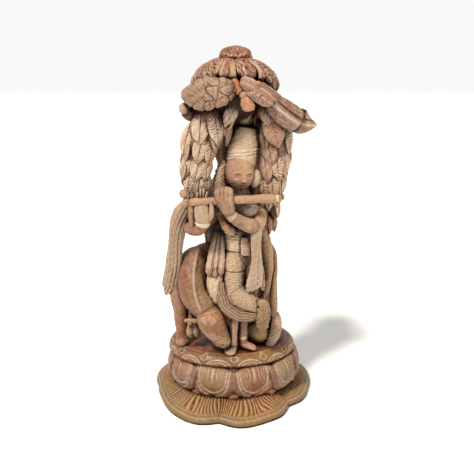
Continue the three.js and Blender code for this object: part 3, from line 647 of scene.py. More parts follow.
def seatForm():
    cfg = plinthSettings
    wide, deep = cfg["seatWidth"], cfg["seatDepth"]

    def carve(s):
        flow = s.degrees - 270 + 11
        pitch = 360 / cfg["arches"]
        cell = near(flow, pitch) * 0.9  # about millimetres across one half-round
        gap = np.abs(near(flow + pitch / 2, pitch)) * 0.9
        down = seatTop - s.z
        side = (s.r > wide * 0.86) & (s.z > 38)
        arc = np.hypot(cell / 11.2, np.clip(12 - down, -3, 12) / 9.0)
        outer = line((arc - 0.97) * 9, 0.55)
        inner = line((arc - 0.74) * 9, 0.5)
        diamond = line(gap * 0.8 + np.abs(down - 2.6) - 2.7, 0.5) * (down < 5.6)
        core = (gap * 0.8 + np.abs(down - 2.6) < 1.3) & (down > 0.2)
        edge = line(s.r - wide * 0.87, 0.9) * (down < 1)
        cut = np.clip(outer + inner + diamond, 0, 1) * side
        flank = ramp(s.z, 38, 40)
        s.side = side * 1.0
        s.arch = (arc < 0.74) * side
        raised = -0.35 * cut - 0.2 * core * side
        return raised * flank * 1.5, (0.58 * cut + 0.12 * edge) * flank

    tint = {
        "rust": lambda s: np.where(s.side > 0, 0.45, 0.95),
        # painted shade: the seat is darkened all over, more on its carved side
        "shade": lambda s: np.where(s.side > 0, 0.24, 0.16),
        "olive": lambda s: 0.4 * s.side,
        "ochre": lambda s: 0.2 * s.arch + 0.15 * s.side,
    }
    corners = [(0, 37), (wide * 0.94, 37), (wide, 42.2), (wide * 0.98, 46.4), (wide * 0.93, 49)]
    corners += [(wide * 0.86, 50), (wide * 0.7, 50), (0, 50)]
    profile = profileThrough(corners, [18, 0.8, 0.62, 0.6, 0.6, 1.6, 6])
    return turned(profile, 520, lambda a: (1, deep / wide), carve, cfg["seatShift"], **tint)


def plinth():
    cfg = plinthSettings
    wide, deep = cfg["petalWidth"], cfg["petalDepth"]
    corners = [(0, 9.8), (wide * 0.8, 9.8), (wide * 0.9, 26), (wide * 0.82, 38), (0, 39.8)]
    profile = profileThrough(corners, [20, 4, 4, 20])
    # the drum shows only in gaps between the petals and is darkened there: painted shade
    drum = turned(profile, 60, lambda a: (1, deep / wide), lambda s: (0, 0), rust=0.4, shade=0.5)
    parts = [skirtForm(), drum, seatForm()]
    for i in range(cfg["petals"]):
        parts.append(petalForm(i + 0.5, 1))
        parts.append(petalForm(i, 0.36))
    joined("lotusPlinth", parts, cfg["spots"])


plinth()


# Cow: smooth body, neck swung down to the seat, hatched tail
cowSettings = {
    "body": [
        [-40, 2, 62, 18, 13], [-32, 3, 62, 23.5, 15], [-10, 5, 59, 23, 16], [12, 5, 59, 23, 16],
        [26, 3, 60, 23, 15], [36, 1, 58, 14, 11],
    ],
    "neck": [
        [-32, 8, 80, 9, 9], [-33, 0, 70, 14, 16], [-34, -12, 58, 14.5, 15], [-32.5, -22, 47, 12.5, 12],
        [-25.4, -29.4, 39, 11.4, 10.2], [-19.6, -32.4, 31, 10, 8],
    ],
    "head": [
        [-21, -26, 38.4, 7, 6], [-20.4, -31.4, 35, 10.4, 7.6], [-19, -36, 30.7, 11.6, 8.4],
        [-15.6, -38, 23, 10.2, 7.8], [-10.8, -39.2, 14.8, 7.6, 6.6], [-8.6, -39.5, 10, 7, 6],
        [-8, -39.5, 6, 5.4, 4.6],
    ],
    "foreleg": [
        [-40, 0, 64, 7, 9], [-44.5, -7, 52, 9, 10], [-46, -12, 42, 8.8, 9], [-45.4, -15, 30, 6.8, 7],
        [-45, -17, 18, 5.6, 5.6], [-44.5, -17.5, 8, 5, 5.4], [-44.5, -19, 2, 6.2, 6.6],
        [-44.5, -19, -2, 6.2, 6.6],
    ],
    "hindleg": [
        [26, 2, 80, 8, 10], [27.6, 0, 66, 9.4, 13], [29.6, -1, 48, 8.4, 12], [32, -2, 32, 6.6, 9],
        [34, -3, 18, 5, 6], [34.6, -3, 8, 4.8, 5.6], [35, -4.5, 2, 5.8, 7], [35, -4.5, -2, 5.8, 7],
    ],
    "farLegs": [(-37, 12), (30, 13)],
    "tassels": [
        [
            [-33, -17, 30, 3, 3], [-35.4, -24, 23, 3.7, 3.2], [-36.6, -28, 16, 3.7, 3],
            [-36.6, -29, 10.4, 1.6, 1.6],
        ],
        [
            [-28, -18, 29, 3, 3], [-31, -26, 22.4, 3.5, 3], [-31.6, -29, 16, 3.4, 2.8],
            [-31, -30, 11.4, 1.4, 1.4],
        ],
    ],
    "ear": [[-26, -33, 28.6, 2, 2], [-33, -33.5, 28.4, 1.9, 1.6], [-41.4, -33, 27.8, 1.5, 1.2]],
    "farEar": [[-13, -33, 38, 2, 2], [-8, -33, 41, 2.6, 1.8], [-3, -31, 43, 1, 1]],
    "tailRoot": [
        [31, 8, 84, 2.6, 2.6], [34.6, -2, 76, 3, 3], [35, -9, 62, 2.8, 2.8], [34, -12, 48, 2.6, 2.6],
        [35, -13, 30, 3, 2.8], [36, -14, 22, 3, 3],
    ],
    "tuft": [
        [35.5, -12, 29, 1.6, 2], [37.5, -14, 21, 4.4, 4], [36.5, -18, 12, 5, 4.2], [33, -21, 5, 4.6, 4],
        [29.5, -23, -2, 3.4, 3],
    ],
    # the shade spots are painted shadows under the head and neck and between the legs
    "spots": [
        ("rust", -44, -18, 66, 9, 0.5), ("shade", -12, -16, 60, 10, 0.4), ("olive", -26, -14, 96, 12, 0.4),
        ("rust", -38, -6, 124, 12, 0.25), ("shade", -24, -26, 60, 9, 0.9), ("shade", 5, -10, 66, 8, 0.9),
        ("shade", -3, -10, 70, 7, 0.9), ("shade", -12, -26, 56, 8, 0.8), ("salmon", -18, -39, 84, 6, 0.3),
        ("grey", -29, -26, 84, 7, 0.4),
    ],
}


def cowHead(s):
    # eye ring, brow, muzzle bands and a nostril
    eye = np.hypot((s.x + 20.4) / 3.6, (s.z - 31.4) / 2.3)
    ring = line((eye - 1) * 2.6, 0.5)
    lid = line((eye - 1.6) * 2.6, 0.45) * (s.z > 30.4)
    pupil = hill(eye, 0.55)
    slant = (s.z - 16) + 0.35 * (s.x + 11)
    bands = line(slant, 0.5) + line(slant + 2.2, 0.5) + line(slant - 2.2, 0.4)
    cheek = line(np.hypot(s.x + 25, s.z - 33) - 11.5, 0.5) * (s.z < 28)
    brow = line(s.z - 38 - 0.2 * (s.x + 20), 0.5) * 0.5
    nostril = hill(np.hypot((s.x + 8.6) / 1.5, (s.z - 10.4) / 1.1), 1)
    mouth = line(s.z - 7 + 0.1 * (s.x + 8), 0.4)
    front = s.face > 0
    raised = -0.55 * ring + 0.6 * pupil - 0.3 * cheek - 0.4 * bands
    raised = raised - 0.35 * lid - 0.9 * nostril - 0.5 * mouth
    return raised * front, (0.6 * ring + 0.4 * lid + 0.5 * bands + 0.3 * brow) * front


def cowNeck(s):
    course = s.x + 33.2 - 0.01 * (s.z - 64) ** 2
    shown = ramp(s.face, 0, 0.3) * ramp(s.z, 34, 42) * ramp(s.z, 85, 78)
    rib = hill(course, 1.4)
    return (0.5 * rib - 0.15 * hill(course - 3, 1.2)) * shown, 0.22 * hill(course, 0.9) * shown


# Kinds of carving that several forms share: slanting strokes, folds, rings and beads
def hatch(pitch, slant, depth, chalk):
    def carve(s):
        cut = line(near(s.along - slant * np.abs(s.around), pitch), 0.45)
        return -depth * cut, chalk * cut
    return carve


def folds(pitch, depth, chalk, width=0.5, swing=0.0):
    def carve(s):
        place = s.around + swing * np.sin(s.along * 0.12)
        cut = line(near(place, pitch), width)
        swell = np.cos(place / pitch * 2 * math.pi)
        return -0.5 * depth * cut - 0.5 * depth * swell, chalk * cut
    return carve


def rings(pitch, depth=0.3, chalk=0.35):
    def carve(s):
        cut = line(near(s.along, pitch), 0.45)
        return -depth * cut, chalk * cut
    return carve


def beads(pitch, depth, chalk):
    def carve(s):
        bead = np.cos(s.x * 2 * math.pi / pitch) * np.cos(s.z * 2 * math.pi / pitch)
        return depth * bead, chalk * np.clip(-bead * 1.6, 0, 1)
    return carve


def tuftCarve(s):
    cut = line(near(0.75 * s.along - s.around + 0.05 * s.around**2, 2.6), 0.75)
    s.cut = cut
    return -0.3 * cut, 0.22 * np.clip(0.5 - cut, 0, 1)


# A plain leg on the side away from the viewer
def farLeg(x, y):
    return [
        [x, y - 5, 55, 8, 8], [x, y, 38, 8, 8], [x, y + 2, 22, 5.4, 5.6], [x, y + 2, 9, 4.6, 5],
        [x, y + 1, 2, 5.6, 6.4], [x, y + 1, -2, 5.6, 6.4],
    ]


def cow():
    cfg = cowSettings
    hide = {"grey": 0.35, "olive": 0.2}
    strokes = hatch(1.9, 0.9, 0.4, 0.3)
    parts = [
        form(cfg["body"], None, 1.3, grey=0.3, rust=0.15, olive=0.1),
        form(
            cfg["neck"], cowNeck, 0.7, olive=lambda s: 0.1 + 0.6 * hill(s.around + 6, 3.5),
            rust=lambda s: 0.35 * hill(s.around - 7, 4), grey=0.3, shade=0.08,
        ),
        form(
            cfg["head"], cowHead, 0.42, ochre=0.12,
            olive=lambda s: 0.2 + 0.4 * hill(s.x + 24, 6) * ramp(s.z, 34, 26),
            salmon=lambda s: 0.2 * hill(s.z - 35, 3), rust=0.12,
            grey=lambda s: 0.2 + 0.5 * ramp(s.z, 15, 12),
            shade=lambda s: 0.06 + 0.25 * ramp(s.side, -0.55, -0.9),
        ),
        form(cfg["ear"], None, 0.5, ochre=0.3, salmon=0.1, olive=0.2),
        form(cfg["farEar"], None, 0.6, ochre=0.4),
        *[form(tassel, strokes, 0.5, olive=0.45, ochre=0.15) for tassel in cfg["tassels"]],
        form(
            cfg["foreleg"], None, 0.9, rust=lambda s: 0.5 * ramp(s.x, -46, -41) + 0.3 * ramp(s.z, 30, 10),
            grey=0.4,
        ),
        form(cfg["hindleg"], None, 1.0, **hide),
        *[form(farLeg(x, y), None, 1.2, **hide) for x, y in cfg["farLegs"]],
        form(cfg["tailRoot"], rings(2.2, 0.2, 0.2), 0.8, ochre=0.3),
        form(cfg["tuft"], tuftCarve, 0.5, grey=0.2, rust=lambda s: 0.25 * s.cut, ochre=0.2, chalk=0.26),
        ballForm(21, -15, 8, 10.5, 9.5, 8.4, grain=0.8, olive=0.7, ochre=0.6, chalk=0.08),
    ]
    joined("grazingCow", parts, cfg["spots"])


cow()


# Flute player: limbs, dress, ornaments and flute
playerSettings = {
    "torso": [
        [3, -15, 58, 9, 8], [3, -16, 68, 12, 10.5], [3, -16.5, 78, 12.2, 10.5], [3, -15.5, 89, 11, 9],
        [4, -14, 100, 12.4, 9.5], [5, -13, 112, 15.5, 10.5], [5.5, -12, 122, 17, 9.5], [6, -12, 129, 10, 8],
        [6, -13, 136, 6.5, 6.5], [6.2, -15, 146, 6, 6],
    ],
    "hips": [
        [3, -16.5, 68, 11, 9.6], [3, -16.5, 76, 12.8, 11.4], [3, -16, 83, 12.2, 11],
        [3, -15.5, 88, 10.8, 9.4],
    ],
    "belt": [
        [3, -15.6, 84, 10.6, 9.6], [3, -16, 88, 12.2, 11], [3.2, -15.6, 96, 12, 10.6],
        [3.6, -14.8, 102, 12, 10.2], [3.8, -14, 105.4, 10.6, 8.8],
    ],
    "pad": [[10.2, -26, 99, 4, 2.2], [10.4, -27.6, 91, 4.6, 2.4], [10.6, -27.6, 83, 4.2, 2.2]],
    "thigh": [
        [1, -18, 88, 6, 6], [0.4, -22, 76, 9.8, 9], [0.4, -25, 66, 9.2, 9], [0.6, -28, 55, 8.6, 8.6],
        [1.8, -30, 46, 9.4, 8.4], [4, -31, 39, 6, 6],
    ],
    "knee": [
        [0, -27, 58, 8, 7], [3.4, -30, 50, 10.4, 9], [10, -33, 45.6, 9.4, 8.4], [17, -34, 42, 7.6, 7],
        [23, -33.6, 39, 6, 6], [28, -32, 36, 3, 3],
    ],
    "backThigh": [
        [9, -14, 84, 6, 6], [12, -17, 70, 8, 8], [14, -21, 57, 7.4, 7.4], [13, -25, 46, 6.5, 6.5],
        [10, -27, 36, 5, 5],
    ],
    "hem": [
        [-10.6, -28, 62, 3.4, 4], [-9.4, -31, 51, 5.4, 5.4], [-5, -35, 41, 6.2, 5.4],
        [4, -37.5, 35.6, 5.8, 5], [14, -38, 34, 5, 4.6], [22, -37, 35, 3.6, 4],
    ],
    "rosette": [
        [20, -38, 42.5, 3, 3], [23.5, -39.5, 44.5, 5.6, 4.4], [25, -40, 38, 5.6, 4.4],
        [24.2, -41, 31, 5.4, 4], [24, -41, 25.5, 4.6, 3.4], [24, -40.5, 21, 1.6, 1.6],
    ],
    "shinLeft": [
        [1, -28, 44, 5, 5], [0.6, -31, 32, 4, 4.4], [0.3, -32.5, 20, 3.5, 3.8], [-0.2, -33, 8, 3.3, 3.6],
        [-0.4, -33, 0, 3.6, 4],
    ],
    "footLeft": [
        [0.4, -30, 2.6, 3.4, 2.6], [-1.6, -35, 3, 4.4, 3.2], [-3.4, -39.5, 1.8, 4.8, 2.6],
        [-4.8, -42, 0.8, 3.4, 1.8],
    ],
    "shinRight": [
        [10, -25, 44, 5, 5], [8.4, -26.5, 32, 4.2, 4.6], [7.8, -27.5, 18, 3.8, 4], [8, -28, 7, 3.6, 3.8],
        [8.2, -28, 0, 3.8, 4],
    ],
    "footRight": [
        [6, -27.5, 3, 3, 3.4], [11, -29.5, 3.4, 3.6, 4.4], [16, -31.5, 2.2, 2.9, 4.4],
        [19.5, -32.5, 1, 1.9, 3.2],
    ],
    "head": [
        [6, -16, 164, 8, 8], [5.9, -18, 159, 11.4, 11], [5.8, -19, 150, 12.2, 11.6],
        [6.3, -19.5, 143, 10, 10], [6.6, -20, 138.4, 5.6, 6], [6.6, -20, 137, 3, 3],
    ],
    "crown": [
        [6.4, -16, 155, 11.8, 11], [7, -16, 160, 12.8, 12], [8.4, -15.8, 168, 12.7, 11.6],
        [10.4, -15.4, 177, 12.2, 10.6], [11.4, -15, 183, 11, 9.4], [12, -14.8, 187.6, 8.4, 7],
    ],
    "earRight": [
        [18, -19, 154, 2.4, 2.6], [18.4, -20.5, 150, 4.6, 3.2], [17.6, -21.5, 144, 4.8, 3.2],
        [15.6, -21, 139, 1.8, 2],
    ],
    "locks": [
        [-5.5, -16, 161, 3, 3], [-9.6, -17.5, 152, 4.6, 4.4], [-11.4, -18.5, 142, 5, 4.8],
        [-11, -19, 131, 4.8, 4.8], [-8, -19, 121, 4, 4.4],
    ],
    "upperArmRight": [
        [14, -12, 124, 6, 6], [20, -17, 119, 6.8, 7.4], [21, -24, 114, 6.4, 7.2], [18.5, -31, 110, 6.2, 6.4],
        [16, -34, 108.5, 4, 4],
    ],
    "forearmRight": [
        [20, -31, 109, 5, 5], [15, -34, 110, 6.2, 6], [8, -36.5, 113.4, 5.6, 5.4],
        [1.5, -38, 117.4, 4.8, 4.6], [-2.6, -38.6, 121.5, 4.2, 3.8], [-4, -38.6, 124, 3, 3],
    ],
    "handRight": [
        [-2.6, -38.6, 119.5, 3.2, 3], [-3.6, -40, 124, 5.2, 3.8], [-5.2, -40.8, 129, 6.2, 3.8],
        [-6.8, -40.8, 135, 7, 3.6], [-7.6, -39.6, 140, 7.2, 3.2], [-8, -37.6, 143, 6.2, 2.4],
    ],
    "upperArmLeft": [
        [-4, -8, 121, 6, 6], [-13, -8, 113, 6, 6], [-22, -11, 106.5, 5.4, 5.4], [-30, -18, 105, 5.6, 5.6],
        [-36.6, -24, 106, 5, 5],
    ],
    "forearmLeft": [
        [-39.6, -23, 108, 3, 3], [-35, -27, 106.4, 5.6, 5.6], [-28.4, -32, 106.8, 5.4, 5.4],
        [-24.6, -36, 110.4, 5, 4.4], [-24.2, -37, 114, 4, 3.6],
    ],
    "palm": [
        [-25, -37, 109.5, 4, 3.2], [-24.4, -38.4, 114, 6, 3.6], [-24, -38.6, 121, 6.8, 3.2],
        [-24, -38, 127, 6.6, 2.6], [-24, -37, 130, 5.4, 2.2],
    ],
    "thumb": [
        [-20, -38.5, 115, 1.8, 1.8], [-17.6, -40, 120, 2.2, 2.2], [-17, -40.6, 126, 2.1, 2.1],
        [-17.6, -40.4, 131, 1.4, 1.5],
    ],
    "hangingArm": [
        [19, -18, 110, 3.6, 3.6], [24, -19.5, 99, 4.6, 4.6], [27.4, -20, 89, 5, 4.8],
        [29, -20, 75, 4.4, 4.4], [29.6, -20, 64, 3, 3], [28.6, -21, 57, 3.2, 2.6], [26.4, -22.5, 49, 2.8, 2],
        [24.6, -23.5, 44, 1.2, 1.2],
    ],
    "cuff": [
        [-11.6, -24, 118, 2.6, 2.6], [-9, -26, 113, 3, 3], [-5.9, -27, 108, 4.2, 3.6],
        [-1.5, -27.4, 104, 4.8, 3.4], [1.6, -26.4, 101.6, 3, 2.4],
    ],
    "pipe": [
        [-35.4, -37, 130.2, 2.8, 2.8], [-25, -37.4, 130.8, 3.5, 3.5], [2, -37.4, 132.2, 3.5, 3.5],
        [27, -36.4, 133.2, 3.5, 3.5], [38.6, -35.4, 133.8, 2.8, 2.8],
    ],
    "finger": [[-32.6, -35, 130, 2.4, 2], [-33, -35.4, 120, 2.9, 2.4], [-32.4, -32, 107, 2.4, 2]],
    "scarfLeft": [
        [-33, -26, 129, 3.4, 3], [-38, -21, 123, 6, 5.5], [-43, -17.5, 114, 8, 6],
        [-46.2, -15.5, 103, 7.2, 5], [-48.4, -14, 90, 6.2, 4], [-50.4, -13.5, 75, 6.6, 3.5],
        [-52.4, -13.5, 60, 7.6, 3.3], [-53.8, -13.5, 50, 7.6, 3], [-56.4, -13.5, 45.4, 5, 2.6],
        [-59, -13.5, 43, 1.6, 1.8],
    ],
    "scarfRight": [
        [19.5, -30, 112, 3.6, 3.6], [18.6, -34.5, 104, 4.6, 3.6], [18.6, -35.4, 90, 3.9, 3],
        [19, -35.4, 74, 5.2, 3], [17.6, -35.8, 63, 7, 2.7], [14.6, -36, 57, 5.4, 2.2],
        [10.6, -36, 53, 1.2, 1],
    ],
    "scarfTail": [[21.6, -34, 78, 2.4, 2.4], [23, -34.4, 66, 2.9, 2.2], [24.4, -34.4, 55, 0.8, 1]],
    "skirtLeft": [
        [-12, -20, 82, 4, 5], [-14, -24, 68, 6.6, 6], [-15, -27, 58, 7.2, 5.6], [-14, -29.5, 49, 6.4, 5],
        [-15, -31, 43, 2.8, 3], [-15.8, -31, 41.5, 1, 1],
    ],
    "skirtMiddle": [[-6, -24, 60, 6, 6], [-6, -28, 50, 7, 6], [-4, -32, 41, 6, 5], [-2, -33, 37, 3, 3]],
    "necklace": [
        [-6, -21, 123, 3.4, 3.4], [0, -27, 120.6, 5.6, 4], [7, -30, 119.6, 6.2, 4], [14, -28, 120.6, 5.6, 4],
        [20, -20, 123, 3.4, 3.4],
    ],
    # sashes: x at the belt, x at the end and height of the end
    "sashes": [(-13.4, -19, 70), (-11.6, -14.4, 68), (-9.4, -9.6, 70)],
    # the shade spots are painted shadows under the flute and the right forearm and beside the left arm and
    # head
    "spots": [
        ("shade", -18, -10, 166, 8, 0.9), ("shade", -14, -12, 150, 9, 0.8),
        ("shade", 3, -25, 173.6, 3.8, 1.3), ("shade", 8, -24, 173.6, 3.8, 1.3),
        ("shade", 13, -22, 174, 3.6, 1), ("shade", 18, -20.5, 173.8, 3.8, 1),
        ("shade", 24, -20, 174, 3.8, 1), ("shade", 30, -20, 174.5, 4, 1), ("shade", 3, -25, 159.4, 3.4, 0.9),
        ("shade", 9.5, -25, 154.5, 3.8, 1), ("shade", 17, -25, 152.4, 3.8, 0.9),
        ("shade", -9, -16, 150, 7, 0.9), ("shade", -8, -16, 160, 6, 0.8), ("shade", -17, -24, 163, 6, 0.7),
        ("ochre", 24, -24, 166, 8, 0.5), ("salmon", -6, -32, 160, 5, 0.5), ("olive", 25, -38, 92, 5, 0.4),
    ],
}

# The face is a plain calm one in equal thirds: hairline to brow, brow to nose, nose to chin.
# The head is five eyes wide and the eyes are one eye apart.
faceSettings = {
    "hairline": 160,
    "chin": 137,
    "middle": 6.2,
    "halfWidth": 12,
    "turn": 14,
}


def headCarve(s):
    cfg = faceSettings
    third = (cfg["hairline"] - cfg["chin"]) / 3
    brow = cfg["hairline"] - third
    noseLow = brow - third
    turn = math.radians(cfg["turn"])
    u = (s.x - cfg["middle"]) * math.cos(turn) + (s.y + 19) * math.sin(turn)
    wide = cfg["halfWidth"] * 0.4
    pair = np.abs(u) - wide
    v = s.z - (brow - 0.3 * third)
    m = s.z - (noseLow - third / 3)
    front = ramp(s.face, 0.05, 0.35)
    socket = hill(np.hypot(pair / 3.0, v / 1.7), 1)
    ball = hill(np.hypot(pair / 2.3, v / 1.1), 1)
    lid = line(v - 0.8 + 0.16 * pair**2, 0.34) * (np.abs(pair) < wide / 2)
    under = line(v + 1.3 - 0.14 * pair**2, 0.3) * (np.abs(pair) < wide / 2)
    arch = hill(s.z - brow + 0.08 * pair**2, 0.7) * (np.abs(pair) < 3.2)
    bridge = hill(u, 1.0 + 0.12 * np.clip(brow - 2 - s.z, 0, 6))
    bridge = bridge * ramp(s.z, brow + 0.5, noseLow + 1) * (s.z > noseLow)
    wing = hill(np.hypot((np.abs(u) - 1.5) / 0.85, (s.z - noseLow - 0.7) / 0.8), 1)
    upper = hill(np.hypot(u / (wide * 0.6), (m - 0.75) / 0.6), 1)
    lower = hill(np.hypot(u / (wide * 0.5), (m + 0.85) / 0.7), 1)
    mouth = line(m, 0.34) * (np.abs(u) < wide * 0.7)
    chin = hill(np.hypot(u / 3.2, (s.z - cfg["chin"] - 2) / 2), 1)
    cheek = hill(np.hypot((np.abs(u) - 5.6) / 2.6, (s.z - noseLow - 1) / 2.8), 1)
    raised = -1.1 * socket + ball - 0.5 * lid - 0.35 * under + 0.42 * arch + 2.3 * bridge
    raised = raised + 0.9 * wing + 0.85 * upper + 0.95 * lower - 0.7 * mouth + 0.8 * chin + 0.45 * cheek
    s.dark = np.clip(lid + mouth + 0.5 * under, 0, 1) * front
    return raised * front, 0 * front


def crownCarve(s):
    rise = s.z - 158
    slope = s.z - 0.1 * (s.x - 6)
    bandZone = ramp(slope, 171, 170.4)
    grid = line(near(s.around + 0.06 * rise, 1.9), 0.36) + line(near(s.along, 1.8), 0.36)
    bands = line(slope - 170.4, 0.5) + line(slope - 167.6, 0.45) + line(slope - 165, 0.5)
    facet = np.cos(near(s.around, 1.9) * 3.3) * np.cos(near(s.along, 1.8) * 3.5)
    cut = np.clip(grid, 0, 1) * (1 - bandZone) + 1.4 * np.clip(bands, 0, 1) * bandZone
    s.cut = np.clip(grid, 0, 1) * (1 - bandZone)
    return 0.14 * facet * (1 - bandZone) - 0.32 * cut, 0.2 * bandZone * cut


def beltCarve(s):
    cut = line(near(s.z - 0.02 * (s.x - 3) ** 2, 2.3), 0.6)
    return -0.4 * cut, 0.5 * cut


def thighCarve(s):
    # hip panel with small scales above, fine stepped lines below
    panel = (s.z > 70.4) & (s.z < 86)
    scale = np.cos(s.x * 2.6) * np.cos(s.z * 2.6 + 1.6 * np.sign(np.cos(s.x * 1.3)))
    step = s.z + 0.16 * (s.x - 2) + 0.35 * np.sign(np.sin(s.around * 1.9))
    stripes = line(near(step, 2.1), 0.5)
    rim = line(s.z - 86 + 0.02 * s.x**2, 0.6) + line(s.z - 70.4 + 0.05 * s.x, 0.6)
    raised = np.where(panel, 0.25 * scale, -0.26 * stripes) - 0.35 * rim
    s.rim = np.clip(rim, 0, 1)
    chalk = np.where(panel, 0.4 * np.clip(-scale * 1.5, 0, 1), 0.4 * stripes)
    return raised, chalk


def kneeCarve(s):
    swing = s.along + 0.35 * s.around + 0.35 * np.sign(np.sin(s.around * 1.9))
    cut = line(near(swing, 2.1), 0.42)
    return -0.26 * cut, 0.34 * cut


def hemCarve(s):
    lines = line(near(s.around + 0.5 * np.sin(s.along * 0.5), 2.4), 0.6) * (np.abs(s.around) < 6.8)
    scallop = np.abs(np.sin(s.along * math.pi / 2.6))
    lowEdge = ramp(s.around, -3.4, -5)
    s.cut = lines
    return -0.4 * lines + 0.8 * lowEdge * scallop, 0.1 * np.clip(0.5 - lines, 0, 1)


def rosetteCarve(s):
    leafZone = s.z < 35
    away = np.hypot(s.x - 23.6, s.z - 43)
    coil = line(near(away + 0.5 * np.arctan2(s.z - 43, s.x - 23.6), 2.2), 0.5)
    dots = np.cos((s.x - 24.4) * 2.3) * np.cos(s.z * 2.3)
    rim = line(np.abs(s.around) - 4.6, 0.5)
    raised = np.where(leafZone, 0.4 * dots - 0.3 * rim, -0.4 * coil)
    return raised, np.where(leafZone, 0.34 * np.clip(dots, 0, 1) + 0.3 * rim, 0.3 * coil)


def torsoCarve(s):
    chest = s.z > 104
    dots = np.cos(s.x * 2.7) * np.cos(s.z * 2.5)
    waist = line(near(s.z + 0.25 * (s.x - 3), 2.4), 0.45) * (s.z > 102) * (s.z < 108)
    chalk = np.where(chest, 0.35 * np.clip(-dots * 1.4, 0, 1), 0.22 * waist)
    return np.where(chest, 0.25 * dots, -0.3 * waist), chalk


def bracelet(low, high, depth=0.5, chalk=0.12):
    def carve(s):
        inside = (s.along > low) & (s.along < high)
        cut = line(near(s.along - low, (high - low) / 3), 0.4)
        return np.where(inside, depth - 0.6 * cut, 0), np.where(inside, chalk + 0.3 * cut, 0)
    return carve


def armBands(s):
    zone = hill(s.z - 94, 4) + hill(s.z - 76, 5) + ramp(s.z, 62, 58)
    cut = line(near(s.along + 0.5 * s.around, 2.6), 0.5) * np.clip(zone * 1.4, 0, 1)
    return -0.4 * cut, 0.3 * cut


def handCarve(s):
    # four fingers closed over the flute, parted by cuts, with a knuckle row
    x = s.x + 7.2
    parting = line(near(x, 3.4), 0.4) * ramp(s.z, 133, 137) * (np.abs(x) < 6)
    knuckle = hill(s.z - 133, 1.8) * (0.5 - 0.5 * np.cos(x * 2 * math.pi / 3.4))
    front = s.face > -0.2
    s.dark = parting * front
    return (-0.6 * parting + 0.3 * knuckle) * front, 0 * front


def dancer():
    cfg = playerSettings
    cloth = {"olive": 0.3, "grey": 0.2, "chalk": 0.16}
    hipGold = lambda s: 0.35 * ramp(s.z, 70, 71) * ramp(s.z, 87, 86)
    panelled = {**cloth, "shade": lambda s: 0.7 * s.rim, "ochre": hipGold}
    parts = [
        form(cfg["torso"], torsoCarve, 0.62, olive=0.2, rust=0.1, chalk=0.14),
        form(cfg["hips"], thighCarve, 0.55, **panelled),
        form(cfg["belt"], beltCarve, 0.55, olive=0.2, chalk=0.36, grey=0.2),
        form(cfg["pad"], rings(1.9, 0.2, 0.3), 0.5, salmon=0.3, grey=0.5, chalk=0.25, reach=1.4, crisp=0.6),
        form(cfg["thigh"], thighCarve, 0.5, **panelled),
        form(cfg["knee"], kneeCarve, 0.55, **cloth),
        form(cfg["backThigh"], rings(2.4), 0.7, **cloth),
        form(
            cfg["hem"], hemCarve, 0.48, facing=(0.2, -0.8, 0.55), olive=0.4, grey=0.4, chalk=0.1,
            shade=lambda s: 0.12 + 0.5 * s.cut,
        ),
        form(cfg["rosette"], rosetteCarve, 0.5, ochre=0.3, olive=0.5, shade=0.26),
        form(cfg["shinLeft"], folds(2.4, 0.15, 0.15), 0.6, grey=0.35, chalk=0.15),
        form(cfg["footLeft"], folds(2, 0.35, 0.2), 0.5, upward, grey=0.4, chalk=0.1),
        form(cfg["shinRight"], bracelet(32, 34.6, 0.25), 0.6, grey=0.5),
        form(cfg["footRight"], hatch(2.4, 0, 0.3, 0.2), 0.5, salmon=0.15, grey=0.5),
        form(
            cfg["head"], headCarve, 0.3, depth=0.72, dense=0.5, rust=lambda s: 0.4 * ramp(s.x, 3, -5),
            ochre=lambda s: 0.35 * ramp(s.x, 4, 14), salmon=0.14, chalk=0.24, shade=lambda s: 0.34 * s.dark,
        ),
        form(cfg["crown"], crownCarve, 0.44, ochre=0.2, chalk=0.6, rust=lambda s: 0.4 * s.cut, reach=1.4),
        form(cfg["earRight"], None, 0.5, grey=0.7, chalk=0.45),
        form(cfg["locks"], beads(2.6, 0.4, 0.3), 0.5, olive=0.3, chalk=0.4),
        form(cfg["upperArmRight"], None, 0.65, upward, ochre=0.15, olive=0.3, chalk=0.26),
        form(cfg["forearmRight"], bracelet(23, 27, 0.25), 0.55, olive=0.25, chalk=0.12),
        form(
            cfg["handRight"], handCarve, 0.42, olive=0.15, chalk=lambda s: 0.12 + 0.2 * s.dark,
            rust=lambda s: 0.3 * s.dark,
        ),
        form(cfg["upperArmLeft"], None, 0.8, rust=0.3, grey=0.3),
        form(cfg["forearmLeft"], None, 0.6, upward, rust=0.25, grey=0.3),
        form(cfg["palm"], bracelet(0, 4.6, 0.5, 0.4), 0.5, chalk=0.32, olive=0.4, grey=0.2),
        form(cfg["thumb"], None, 0.42, chalk=0.3, ochre=0.1),
        form(cfg["hangingArm"], armBands, 0.58, ochre=0.5, olive=0.2, chalk=0.06),
    ]
    # banded cuff between the arm and the waist
    cuffRed = lambda s: 0.4 * ramp(s.z, 108, 112)
    parts.append(form(cfg["cuff"], rings(2.2, 0.5, 0.6), 0.5, salmon=cuffRed, grey=0.4))
    # fingers of the left hand, the two in the middle longer
    for i in range(4):
        x = -28.6 + 2.5 * i
        tip = 141 if i in (1, 2) else 138.6
        finger = [[x, -36, 126, 1.3, 1.6], [x, -35, 131, 1.4, 1.7], [x + 0.3, -35.5, tip, 1.1, 1.4]]
        parts.append(form(finger, None, 0.42, chalk=0.35, grey=0.2))
    return parts


